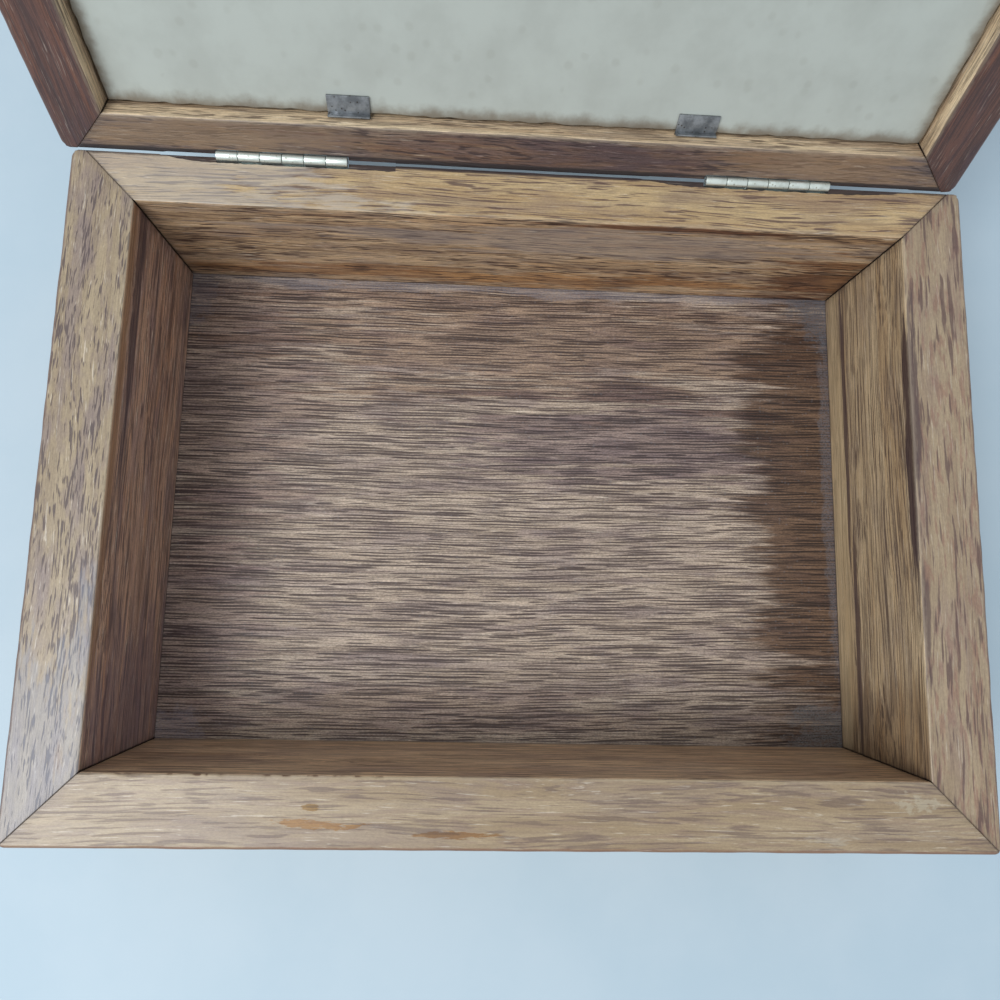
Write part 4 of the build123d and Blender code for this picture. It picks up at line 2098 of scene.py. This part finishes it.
@dataclass(frozen=True)
class MatForm:
    """The window mat: the window's size and its bevel, in millimetres."""

    window_length: float = 170.0
    window_width: float = 119.0
    bevel: float = 1.1
    softness: float = 0.08
    side_points: int = 44

    def build(self, node: str, face: Material, core: Material) -> None:
        """Makes the mat, with a coloured face and a pale bevelled core.

        Args:
            node: The CAD node that it stands for.
            face: The finish of the paper face.
            core: The finish of the cut bevel.
        """
        span = Span.of(node, CLOSED)
        centre = span.centre
        outer = (span.size.x / 2, span.size.y / 2)
        window = (self.window_length * MM / 2, self.window_width * MM / 2)
        bevel = self.bevel * MM
        soft = self.softness * MM
        rings = [
            (window, span.low.z, core),
            (window, span.high.z - bevel, core),
            ((window[0] + bevel, window[1] + bevel), span.high.z, face),
            ((outer[0] - soft, outer[1] - soft), span.high.z, face),
            (outer, span.high.z - soft, face),
            (outer, span.low.z + soft, face),
            ((outer[0] - soft, outer[1] - soft), span.low.z, face),
        ]
        points, faces, chosen = [], [], []
        sides = self.side_points
        for half, height, _ in rings:
            for step in range(sides * 4):
                side, part = divmod(step, sides)
                share = 2 * part / sides - 1
                x, y = {0: (share, -1), 1: (1, share), 2: (-share, 1), 3: (-1, -share)}[side]
                points.append((centre.x + x * half[0], centre.y + y * half[1], height))
        count = sides * 4
        for ring, (_, _, material) in enumerate(rings):
            base, following = ring * count, (ring + 1) % len(rings) * count
            for step in range(count):
                ahead = (step + 1) % count
                faces.append((base + step, base + ahead, following + ahead, following + step))
                chosen.append(0 if material is face else 1)
        mat = new_piece("window_mat", np.array(points), faces, face, core)
        mat.data.polygons.foreach_set("material_index", chosen)
        mat.data.transform(OPEN)
        settled(mat, Body.LID, node)


# Finishes


@dataclass(frozen=True)
class MetalFinish:
    """Plated or bare steel with tarnish: display colours, and the clouds' size in millimetres."""

    name: str
    bright: Triple
    dull: Triple
    spot: Triple
    size: float = 3.0
    gloss: float = 0.3
    metallic: float = 0.9

    def material(self) -> Material:
        """Builds the material.

        Returns:
            The material, which reads the piece's object coordinates.
        """
        s = Surface(self.name)
        place = s.place()
        speckle = s.group(Effects.speckle, Place=place, Size=self.size * MM)
        cloud, spots = speckle.outputs["Cloud"], speckle.outputs["Spots"]
        colour = s.mix(spots, s.mix(cloud, tone(*self.bright), tone(*self.dull)), tone(*self.spot))
        scratch = s.noise(place, grained(4.0, 0.25), detail=2.0).outputs["Fac"]
        rough = s.math("MULTIPLY_ADD", cloud, 0.18, s.math("MULTIPLY_ADD", scratch, 0.12, self.gloss - 0.06))
        metal = s.math("MULTIPLY_ADD", spots, -0.35, self.metallic)
        s.set(Base_Color=colour, Roughness=s.math("MULTIPLY_ADD", spots, 0.25, rough), Metallic=metal)
        s.bump(s.math("ADD", s.math("MULTIPLY", cloud, 0.6), s.math("MULTIPLY", scratch, 0.4)), 0.03 * MM, 0.5)
        return s.material


@dataclass(frozen=True)
class PaperFinish:
    """Paper and board: fibres, faint clouds, and edges soiled and darkened by painted shade, in display colours."""

    name: str
    base: Triple
    shade: Triple
    grime_and_shade: Triple
    fibre: float = 0.5
    gloss: float = 0.75
    spots: float = 0.3
    grime_and_shade_share: float = 0.0

    def material(self) -> Material:
        """Builds the material.

        Returns:
            The material, which reads the sheet's rim value where its edge is soiled and carries painted shade.
        """
        s = Surface(self.name)
        place, grime_and_shade = s.place(), tone(*self.grime_and_shade)
        speckle = s.group(Effects.speckle, Place=place, Size=14 * MM)
        fibres = s.noise(place, grained(1.2, 1.2), detail=4.0, rough=0.7).outputs["Fac"]
        cloud = s.math("MULTIPLY", speckle.outputs["Cloud"], self.fibre)
        colour = s.mix(cloud, tone(*self.base), tone(*self.shade))
        colour = s.mix(s.math("MULTIPLY", speckle.outputs["Spots"], self.spots), colour, grime_and_shade)
        if self.grime_and_shade_share:
            edge = s.attribute("rim").outputs["Fac"]
            torn = s.noise(place, grained(6.0, 6.0), detail=4.0, rough=0.6).outputs["Fac"]
            # Darker towards the rim: soiling, with painted shade where the board meets the rails.
            edge_grime_and_shade = s.span(s.math("ADD", edge, s.math("MULTIPLY_ADD", torn, 0.9, -0.45)), 0.35, 1.0)
            colour = s.mix(s.math("MULTIPLY", edge_grime_and_shade, self.grime_and_shade_share), colour, grime_and_shade)
        s.set(Base_Color=colour, Roughness=s.math("MULTIPLY_ADD", fibres, 0.15, self.gloss - 0.07))
        s.bump(fibres, 0.05 * MM, 0.5)
        return s.material


def glass_material() -> Material:
    """Clear picture glass with faint ripples and a little dust.

    Returns:
        The material.
    """
    s = Surface("picture glass")
    place = s.place()
    speckle = s.group(Effects.speckle, Place=place, Size=20 * MM)
    colour = s.mix(speckle.outputs["Cloud"], tone(249, 252, 250), tone(242, 248, 245))
    s.set(Base_Color=colour, Roughness=s.math("MULTIPLY", speckle.outputs["Spots"], 0.25))
    s.set(Transmission_Weight=1.0, IOR=1.51, Metallic=0.0)
    ripple = s.noise(place, grained(50.0, 50.0), detail=0.0).outputs["Fac"]
    s.bump(ripple, 0.05 * MM, 0.3)
    return s.material


@dataclass(frozen=True)
class VeneerFinish:
    """The floor's finish: veneer whose pores are cut in the mesh, stained and dusty, with painted shade along the left
    wall.
    """

    wood: OakFinish
    dust: Triple = (124, 126, 132)

    def material(self) -> Material:
        """Builds the material.

        Returns:
            The material, which reads the panel's pore value.
        """
        s = Surface(self.wood.name)
        place = s.place()
        figure = self.wood.figured(s, place)
        pore = s.attribute("pore").outputs["Fac"]
        broken = s.noise(place, grained(12.0, 0.5), detail=3.0, rough=0.6).outputs["Fac"]
        deep = s.span(s.math("ADD", pore, s.math("MULTIPLY_ADD", broken, 0.5, -0.25)), 0.24, 0.42)
        colour = s.mix(s.math("MULTIPLY", deep, 0.88), figure.outputs["Color"], tone(*self.wood.dark))
        colour = s.patched(colour, place, self.wood.patches)
        speckle = s.group(Effects.speckle, Place=place, Size=4 * MM)
        colour = s.mix(s.math("MULTIPLY", speckle.outputs["Spots"], 0.22), colour, tone(*self.dust))
        s.set(Base_Color=colour, Roughness=s.math("MULTIPLY_ADD", figure.outputs["Pores"], 0.15, 0.52))
        s.set(Coat_Weight=0.15, Coat_Roughness=0.35)
        s.bump(s.math("SUBTRACT", figure.outputs["Height"], s.math("MULTIPLY", deep, 0.7)), 0.1 * MM, 0.6)
        return s.material


def metals() -> dict[Slot, Material]:
    """Makes the metal finishes.

    Returns:
        Each slot's finish.
    """
    finishes = {
        Slot.HINGE: MetalFinish("hinge metal", (218, 226, 221), (192, 200, 194), (168, 170, 158)),
        Slot.PIN: MetalFinish("pin steel", (170, 172, 172), (120, 120, 118), (80, 70, 60), gloss=0.35),
        Slot.SCREW: MetalFinish("screw metal", (188, 190, 184), (140, 138, 128), (84, 76, 64), size=2.0),
        Slot.POINT: MetalFinish("point steel", (150, 154, 158), (106, 110, 114), (70, 66, 62), gloss=0.4),
    }
    return {slot: finish.material() for slot, finish in finishes.items()}


# Boards of the box and the lid


BACK_THICKNESS = 15.0
RIM = 54.4
FLOOR = 6.4
FRONT_RIM = OakFinish(
    "front rim", (164, 144, 115), (142, 120, 90), (88, 68, 64), (124, 106, 98),
    streak=(132, 108, 94), streak_size=(15.0, 1.3), streaking=0.4, dash_size=(14.0, 0.7), dash=0.55,
    line_size=(26.0, 0.7), line=0.12, clouding=0.35, painted_glint=0.3, outer_stain_and_shade=(120, 82, 58), fibre=0.6,
    joint=0.5,
    patches=(
        Patch((-54.0, 12.4, RIM), (8.0, 1.6, 4.0), (238, 196, 116), 1.0, 3.6, (3.0, 0.6), "MULTIPLY"),
        Patch((-54.0, 8.4, RIM), (2.2, 0.9, 4.0), (214, 184, 110), 1.0, 1.6, (2.0, 0.6), "MULTIPLY"),
        Patch((-16.0, 14.6, RIM), (9.0, 0.9, 4.0), (222, 186, 130), 1.0, 3.0, (3.0, 0.5), "MULTIPLY"),
        # The two paler patches towards the right end are painted highlights.
        Patch((110.0, 6.0, RIM), (5.0, 3.2, 4.0), (198, 192, 170), 0.3, 2.4, (2.0, 1.6)),
        Patch((84.0, 15.0, RIM), (9.0, 1.4, 4.0), (196, 190, 174), 0.25, 2.4, (4.0, 1.0)),
    ),
)
LEFT_RIM = OakFinish(
    "left rim", (166, 148, 120), (146, 127, 102), (74, 60, 62), (126, 110, 112),
    streak=(134, 116, 108), streak_size=(10.0, 2.2), streaking=0.4, dash_size=(5.0, 0.5), dash=0.85,
    line_size=(12.0, 0.4), line=0.15, clouding=0.55, painted_glint=0.4, fibre=0.8, joint=0.5,
    # Cool blue-grey patch over the front end: painted sheen.
    patches=(Patch((-92.0, 10.0, RIM), (56.0, 30.0, 10.0), (120, 132, 152), 0.36, 1.6, (9.0, 1.6)),),
)
BACK_RIM = OakFinish(
    "back rim", (190, 164, 122), (164, 132, 92), (84, 60, 56), (130, 110, 100),
    streak=(204, 178, 136), dash_size=(15.0, 0.55), dash=0.85, line_size=(30.0, 0.5), line=0.3,
    # The near-black outer arris colour here is painted shade along the back arris, by the gap under the lid.
    clouding=0.4, painted_glint=0.3, fibre=0.8, joint=0.6, outer_stain_and_shade=(40, 28, 34),
    patches=(
        # Pale grey patch over the left end: painted sheen.
        Patch((-104.0, 8.0, RIM), (56.0, 30.0, 10.0), (192, 186, 178), 0.42, 1.6, (10.0, 1.6)),
        # Dark band along the back arris: painted shade by the gap under the lid.
        Patch((-4.0, BACK_THICKNESS, RIM), (60.0, 1.6, 4.0), (48, 34, 38), 0.85, 0.3, (12.0, 0.8)),
    ),
)
RIGHT_RIM = OakFinish(
    "right rim", (163, 143, 115), (140, 118, 93), (84, 60, 56), (130, 106, 98),
    streak=(134, 96, 80), streak_size=(9.0, 1.7), streaking=0.6, dash_size=(12.0, 0.85), dash=0.8,
    line_size=(18.0, 0.5), line=0.15, clouding=0.35, painted_glint=0.2, fibre=0.6, joint=0.5,
    patches=(
        Patch((24.0, 1.0, RIM), (34.0, 2.0, 6.0), (64, 42, 46), 0.8, 1.6, (9.0, 0.8)),
        Patch((-34.0, 1.0, RIM), (20.0, 1.6, 6.0), (70, 48, 50), 0.7, 1.6, (9.0, 0.8)),
    ),
)
# Painted shade: a dark line low on the inner walls, along the crease where they meet the floor.
FOOT_SHADE = Patch((0.0, 0.0, 6.2), (400.0, 20.0, 0.9), (46, 33, 32), 0.85, 0.7, (8.0, 0.6))
INNER_BACK = OakFinish(
    "inner back", (216, 185, 146), (172, 139, 104), (68, 46, 38), (128, 112, 108),
    streak=(190, 138, 84), dash_size=(9.0, 0.55), dash=0.95, line_size=(26.0, 0.5), line=0.6,
    clouding=0.45, painted_glint=0.7, fibre=1.4,
    patches=(
        # Grey patch across the middle: painted sheen.
        Patch((20.0, 0.0, 41.0), (110.0, 9.0, 9.0), (158, 146, 140), 0.5, 2.0, (26.0, 1.6)),
        Patch((46.0, 0.0, 52.4), (48.0, 9.0, 1.5), (140, 96, 70), 0.9, 1.8, (14.0, 0.7), "MULTIPLY"),
        Patch((104.0, 0.0, 22.0), (26.0, 9.0, 15.0), (170, 136, 110), 0.9, 2.2, (16.0, 1.2), "MULTIPLY"),
        Patch((0.0, 0.0, 14.0), (130.0, 9.0, 6.0), (226, 190, 140), 0.8, 2.2, (20.0, 1.2), "MULTIPLY"),
        FOOT_SHADE,
    ),
)
INNER_FRONT = OakFinish(
    "inner front", (222, 188, 150), (188, 153, 119), (78, 56, 52), (138, 112, 106),
    streak=(174, 126, 80), dash_size=(16.0, 0.6), dash=0.6, line_size=(60.0, 0.5), line=0.75,
    fibre=1.4, patches=(FOOT_SHADE,),
)
INNER_LEFT = OakFinish(
    "inner left", (206, 166, 138), (170, 136, 118), (66, 50, 56), (120, 106, 120),
    streak=(176, 120, 80), streak_size=(120.0, 2.4), streaking=0.45, line_size=(60.0, 0.5),
    line=0.75, dash_size=(20.0, 0.6), dash=0.7, painted_glint=0.7, fibre=1.5,
    patches=(
        Patch((10.0, 0.0, 53.0), (110.0, 9.0, 3.0), (152, 112, 74), 0.55, 0.9, (30.0, 0.8)),
        Patch((50.0, 0.0, 47.0), (80.0, 9.0, 2.6), (58, 42, 54), 0.75, 1.6, (26.0, 1.2)),
        # Purple-grey patch low over the front end: painted cool sheen.
        Patch((-74.0, 0.0, 26.0), (38.0, 9.0, 34.0), (100, 88, 112), 0.4, 1.8, (26.0, 1.4)),
        FOOT_SHADE,
    ),
)
INNER_RIGHT = OakFinish(
    "inner right", (198, 175, 140), (168, 144, 112), (70, 52, 46), (126, 110, 100),
    streak=(166, 130, 88), line_size=(120.0, 0.5), line=0.8, dash_size=(26.0, 0.5), dash=0.6,
    painted_glint=0.3, fibre=1.3,
    patches=(
        Patch((0.0, 0.0, 11.5), (120.0, 9.0, FLOOR), (198, 174, 134), 0.5, 0.5, (40.0, 1.0)),
        Patch((30.0, 0.0, 17.2), (62.0, 9.0, 1.5), (66, 46, 48), 0.85, 1.2, (20.0, 0.8)),
        Patch((-46.0, 0.0, 19.4), (50.0, 9.0, 1.8), (66, 46, 48), 0.85, 1.2, (20.0, 0.8)),
        Patch((8.0, 0.0, 53.2), (50.0, 9.0, 3.0), (52, 32, 38), 0.9, 1.6, (16.0, 0.9)),
        Patch((-74.0, 0.0, 40.0), (26.0, 9.0, 30.0), (196, 184, 172), 0.8, 1.8, (26.0, 1.4), "MULTIPLY"),
        FOOT_SHADE,
    ),
)
# The lid's narrow faces take darker copies of its oak, whose colour carries painted shade.
SHADED_LID_FACE = OakFinish(
    "lid face in painted shade", (126, 106, 90), (100, 81, 70), (50, 36, 38), (80, 68, 76),
    streak=(132, 98, 62), streak_size=(26.0, 2.0), streaking=0.4, dash_size=(6.0, 0.55), dash=0.8,
    line_size=(20.0, 0.5), line=0.4, clouding=0.6, painted_glint=0.2, fibre=1.2, joint=0.5,
)
SHADED_LID_BACK_FACE = replace(
    SHADED_LID_FACE, name="lid back face in painted shade",
    # Near-black outer arris: painted shade along the lower arris, by the gap over the box.
    outer_stain_and_shade=(26, 19, 24), outer=0.95,
    patches=(
        Patch((-88.0, 9.0, 0.0), (44.0, 7.0, 4.0), (152, 126, 96), 0.4, 1.8, (16.0, 1.2)),
        Patch((12.0, 10.0, 0.0), (56.0, 7.0, 4.0), (206, 188, 198), 0.75, 2.4, (16.0, 1.2), "MULTIPLY"),
        Patch((92.0, 9.0, 0.0), (34.0, 7.0, 4.0), (150, 120, 88), 0.4, 1.8, (16.0, 1.2)),
        # Dark band along the lower outer arris: painted shade by the gap over the box.
        Patch((0.0, BACK_THICKNESS, 0.0), (400.0, 2.1, 2.4), (26, 19, 24), 0.95, 0.3, (12.0, 0.8)),
    ),
)
# Darker copy of the lid oak for the side rails' narrow faces: painted shade.
SHADED_LID_SIDE = OakFinish(
    "lid side in painted shade", (92, 58, 46), (74, 47, 40), (40, 25, 28), (62, 46, 54),
    streak=(132, 78, 44), dash_size=(14.0, 0.6), dash=0.5, line_size=(40.0, 0.5), line=0.5,
    clouding=0.5, joint=0.5, gloss=0.5,
)
LID_WALL = OakFinish(
    "lid wall", (228, 203, 166), (198, 171, 138), (74, 54, 46), (134, 116, 104),
    dash_size=(9.0, 0.6), dash=0.75, line_size=(26.0, 0.5), line=0.5, painted_glint=0.4, fibre=1.4, joint=0.6,
)
# Faces of the reliefs, mortises and slits: dark oak that paints the shade in these recesses.
SHADED_CUT_OAK = OakFinish(
    "cut oak in painted shade", (66, 52, 48), (50, 38, 36), (30, 22, 24), (56, 50, 56),
    streak=(70, 48, 38), dash_size=(8.0, 1.0), dash=0.5, line=0.5, gloss=0.3, inner=0.0, outer=0.0,
)


WALL_LOOKS = {
    Side.FRONT: (FRONT_RIM, INNER_FRONT),
    Side.BACK: (BACK_RIM, INNER_BACK),
    Side.LEFT: (LEFT_RIM, INNER_LEFT),
    Side.RIGHT: (RIGHT_RIM, INNER_RIGHT),
}
FLOOR_PATCHES = (
    # The first two patches darken the floor along the left wall: painted shade.
    Patch((-98.0, 34.0, FLOOR), (32.0, 62.0, 20.0), (226, 216, 218), 0.8, 1.8, (26.0, 1.6), "MULTIPLY"),
    Patch((-104.0, -40.0, FLOOR), (24.0, 46.0, 20.0), (238, 230, 236), 0.8, 1.8, (26.0, 1.6), "MULTIPLY"),
    Patch((107.0, 4.0, FLOOR), (31.0, 106.0, 20.0), (160, 140, 126), 1.0, 1.3, (24.0, 2.2), "MULTIPLY"),
    Patch((10.0, 62.0, FLOOR), (120.0, 24.0, 20.0), (214, 198, 186), 0.8, 2.0, (24.0, 1.4), "MULTIPLY"),
    Patch((40.0, 25.0, FLOOR), (64.0, 18.0, 20.0), (186, 176, 190), 0.8, 2.2, (24.0, 1.4), "MULTIPLY"),
    Patch((-20.0, -66.0, FLOOR), (90.0, 9.0, 20.0), (250, 244, 244), 0.8, 2.2, (24.0, 1.4), "MULTIPLY"),
    Patch((0.0, 80.5, FLOOR), (130.0, 3.4, 20.0), (134, 130, 136), 0.6, 1.4, (8.0, 2.0), grit=0.6),
    Patch((114.5, 0.0, FLOOR), (4.4, 100.0, 20.0), (106, 103, 108), 0.7, 1.4, (2.0, 4.0), grit=0.8),
    Patch((113.0, 79.0, FLOOR), (14.0, 18.0, 20.0), (96, 97, 104), 0.85, 1.3, (3.0, 1.6), grit=0.7),
    Patch((114.0, -78.0, FLOOR), (22.0, 20.0, 20.0), (122, 121, 122), 0.8, 1.3, (3.0, 1.6), grit=0.8),
    Patch((-112.0, -76.0, FLOOR), (14.0, 10.0, 20.0), (150, 142, 150), 0.55, 1.4, (2.5, 2.5), grit=0.6),
    Patch((-114.0, 78.0, FLOOR), (10.0, 18.0, 20.0), (120, 116, 124), 0.5, 1.4, (2.5, 2.5), grit=0.6),
)


FLOOR_WOOD = OakFinish(
    "floor veneer", (188, 169, 150), (160, 140, 120), (62, 46, 44), (112, 94, 100), streak=(112, 94, 100),
    wander=(0.0, 1.6), band_size=(60.0, 4.0), streak_size=(80.0, 5.0), dash_size=(14.0, 0.5),
    line_size=(30.0, 0.3), band=0.5, streaking=0.25, dash=0.2, line=0.7, painted_glint=0.25, fibre=1.3, grit=1.7,
    patches=FLOOR_PATCHES,
)


class Box:
    """The box body: four mitred walls and a bottom panel let in from below."""

    arrises = Arrises(top_inner=0.5, top_outer=0.8, low_outer=1.0, low_inner=0.3)
    back_arrises = Arrises(top_inner=0.5, top_outer=0.3, low_outer=1.0, low_inner=0.3)
    rabbet = (8.0, 6.4)
    chips = Chips(low=-112.0, high=-34.0, count=30)
    seeds = {Side.FRONT: 101, Side.BACK: 202, Side.LEFT: 303, Side.RIGHT: 404}

    def __init__(self) -> None:
        """Reads the ring of walls."""
        self.ring = Ring.read(Body.BOX, "wall", self.rabbet)

    def build(self, hinges: Sequence[Hinge], cut: Material) -> None:
        """Makes the walls and the floor.

        Args:
            hinges: The hinges that are let into the back wall.
            cut: The finish of cut faces, dark oak that paints the shade in the cuts.
        """
        for side in Side:
            back = side is Side.BACK
            cutters = [shape for hinge in hinges for shape in hinge.cutters(self.ring, -1)] if back else []
            chips = self.chips if side is Side.FRONT else Chips()
            arrises = self.back_arrises if back else self.arrises
            board = Board(self.ring, side, arrises, self.seeds[side], chips)
            rim, face = WALL_LOOKS[side]
            board.build("wall", cutters, rim.material(), face.material(), cut)
        under = replace(FLOOR_WOOD, name="panel underside", patches=())
        floor = VeneerFinish(FLOOR_WOOD).material()
        Veneer().build("box_bottom_panel", self.ring, floor, VeneerFinish(under).material())


class Lid:
    """The lid: a mitred picture frame with its glass, mat, print, backing board and points."""

    arrises = Arrises(top_inner=1.0, top_outer=1.6, low_outer=0.8, low_inner=0.5)
    back_arrises = Arrises(top_inner=1.0, top_outer=1.6, low_outer=0.3, low_inner=0.5)
    rabbet = (4.0, 11.9)
    grime_and_shade_reach = 7.0 * MM
    seeds = {Side.FRONT: 505, Side.BACK: 606, Side.LEFT: 707, Side.RIGHT: 808}

    def __init__(self) -> None:
        """Reads the ring of rails."""
        self.ring = Ring.read(Body.LID, "rail", self.rabbet, OPEN)
        self.points = PushPoints()

    def build(self, hinges: Sequence[Hinge], cut: Material, point: Material) -> None:
        """Makes the rails and everything that they hold.

        Args:
            hinges: The hinges that are let into the back rail.
            cut: The finish of cut faces, dark oak that paints the shade in the cuts.
            point: The finish of the push points.
        """
        # The rails' narrow faces take the darker copies of the lid oak, painted shade.
        wall, plain = LID_WALL.material(), SHADED_LID_SIDE.material()
        edges = {
            Side.FRONT: SHADED_LID_FACE.material(), Side.BACK: SHADED_LID_BACK_FACE.material(), Side.LEFT: plain, Side.RIGHT: plain,
        }
        for side in Side:
            back = side is Side.BACK
            cutters = self.points.slits(self.ring, side)
            if back:
                cutters += [shape for hinge in hinges for shape in hinge.cutters(self.ring, 1)]
            board = Board(self.ring, side, self.back_arrises if back else self.arrises, self.seeds[side])
            board.build("rail", cutters, edges[side], wall, cut)
        self.points.build(self.ring, frame_tree(), point)
        self.glazing()
        self.backing()

    def glazing(self) -> None:
        """Makes the glass, the mat and the bare print."""
        face = PaperFinish("mat paper", (230, 224, 210), (222, 214, 198), (196, 184, 166), spots=0.1)
        core = PaperFinish("mat core", (240, 238, 232), (230, 226, 218), (200, 194, 184), fibre=0.3)
        bare = PaperFinish("bare print paper", (226, 224, 218), (219, 216, 209), (200, 194, 184), gloss=0.45, spots=0.0)
        sheets = (
            ("glass", "lid_glass", SheetForm(0.2, 12.0, lift=0.06), glass_material(), Slot.GLASS),
            ("print", "photo_card", SheetForm(0.08, 4.0, bow=0.03), bare.material(), Slot.PRINT),
        )
        for name, node, form, material, slot in sheets:
            piece = sheet_piece(name, Span.of(node, CLOSED), form, material)
            piece.data.transform(OPEN)
            settled(piece, Body.LID, node)
        MatForm().build("photo_mat", face.material(), core.material())

    def backing(self) -> None:
        """Makes the cream board, with frayed edges, soiled and darkened by painted shade."""
        # Its darker edges are soiling with painted shade where the board meets the rails.
        cream = PaperFinish(
            "cream board", (184, 190, 182), (168, 172, 164), (112, 98, 80), spots=0.1, grime_and_shade_share=0.8,
        )
        span = Span.of("backing_board", CLOSED)
        board = sheet_piece("cream_board", span, SheetForm(0.35, bow=0.12, fray=0.6, seed=33), cream.material())
        places = vertices_of(board)[:, :2]
        away = np.minimum(places - span.low.xy, np.array(span.high.xy) - places).min(1)
        set_values(board, "rim", 1 - np.clip(away / self.grime_and_shade_reach, 0, 1))
        board.data.transform(OPEN)
        settled(board, Body.LID, "backing_board")


# The studio


@dataclass(frozen=True)
class CameraView:
    """The camera's place in millimetres, turn in degrees and lens."""

    place: Triple = (-16.14, -30.63, 257.59)
    turn: Triple = (7.73, -2.967, 1.324)
    sensor: float = 36.0
    lens: float = 26.41

    def build(self) -> None:
        """Makes the camera and looks through it."""
        data = bpy.data.cameras.new("camera")
        data.sensor_width = self.sensor
        data.lens = self.lens
        data.clip_start = 0.01
        camera = bpy.data.objects.new("camera", data)
        camera.location = scaled(self.place)
        camera.rotation_euler = Euler([math.radians(angle) for angle in self.turn])
        bpy.context.scene.collection.objects.link(camera)
        bpy.context.scene.camera = camera


@dataclass(frozen=True)
class Studio:
    """A soft key lamp from the upper left front, a plain world and a pale floor."""

    key_direction: Triple = (-0.5, -0.32, 0.8)
    key_distance: float = 1.5
    key_size: float = 0.8
    key_power: float = 15.5
    world_strength: float = 0.62
    floor_size: float = 8.0

    def build(self) -> None:
        """Makes the lamp, the world and the floor."""
        self.key()
        self.world()
        self.floor()
        bpy.context.scene.view_settings.view_transform = "Standard"

    def key(self) -> None:
        """Makes the key lamp, turned towards the box."""
        data = bpy.data.lights.new("key", "AREA")
        data.shape = "SQUARE"
        data.size = self.key_size
        data.energy = self.key_power
        data.color = (0.975, 0.99, 1.0)
        lamp = bpy.data.objects.new("key", data)
        direction = Vector(self.key_direction).normalized()
        lamp.location = direction * self.key_distance
        lamp.rotation_euler = direction.to_track_quat("Z", "Y").to_euler()
        bpy.context.scene.collection.objects.link(lamp)

    def world(self) -> None:
        """Makes the world: soft cool light, and a pale backdrop where it is seen or mirrored."""
        world = bpy.data.worlds.new("studio")
        world.use_nodes = True
        bpy.context.scene.world = world
        t = Tree(world.node_tree)
        light = t.filled(t.node("ShaderNodeBackground"), Color=tone(236, 244, 255), Strength=self.world_strength)
        seen = t.filled(t.node("ShaderNodeBackground"), Color=tone(232, 236, 238))
        path = t.node("ShaderNodeLightPath").outputs
        shown = t.math("MAXIMUM", path["Is Camera Ray"], path["Is Glossy Ray"])
        shown = t.math("MAXIMUM", shown, path["Is Transmission Ray"])
        mixed = t.node("ShaderNodeMixShader", shown, light.outputs[0], seen.outputs[0])
        t.node("ShaderNodeOutputWorld", mixed.outputs[0])

    def floor(self) -> None:
        """Makes the pale floor that the box stands on."""
        half = self.floor_size / 2
        corners = [(-half, -half, 0), (half, -half, 0), (half, half, 0), (-half, half, 0)]
        mesh = bpy.data.meshes.new("floor")
        mesh.from_pydata(corners, [], [(0, 1, 2, 3)])
        floor = linked("floor", mesh)
        s = Surface("pale floor")
        speckle = s.group(Effects.speckle, Place=s.place(), Size=60 * MM)
        colour = s.mix(speckle.outputs["Cloud"], tone(187, 205, 215), tone(181, 201, 212))
        s.set(Base_Color=colour, Roughness=0.6)
        floor.data.materials.append(s.material)


def main() -> None:
    """Builds the camera, the studio, the box, the hinges and the lid."""
    logging.basicConfig(level=logging.INFO, format="%(name)s: %(message)s")
    CameraView().build()
    Studio().build()
    metal = metals()
    # The cuts' finish is dark oak, painted shade for the recesses.
    cut = SHADED_CUT_OAK.material()
    hinges = [Hinge(hand) for hand in Hand]
    Box().build(hinges, cut)
    row = row_tree()
    for hinge in hinges:
        hinge.build(row, metal)
    Lid().build(hinges, cut, metal[Slot.POINT])


if __name__ == "__main__":
    main()
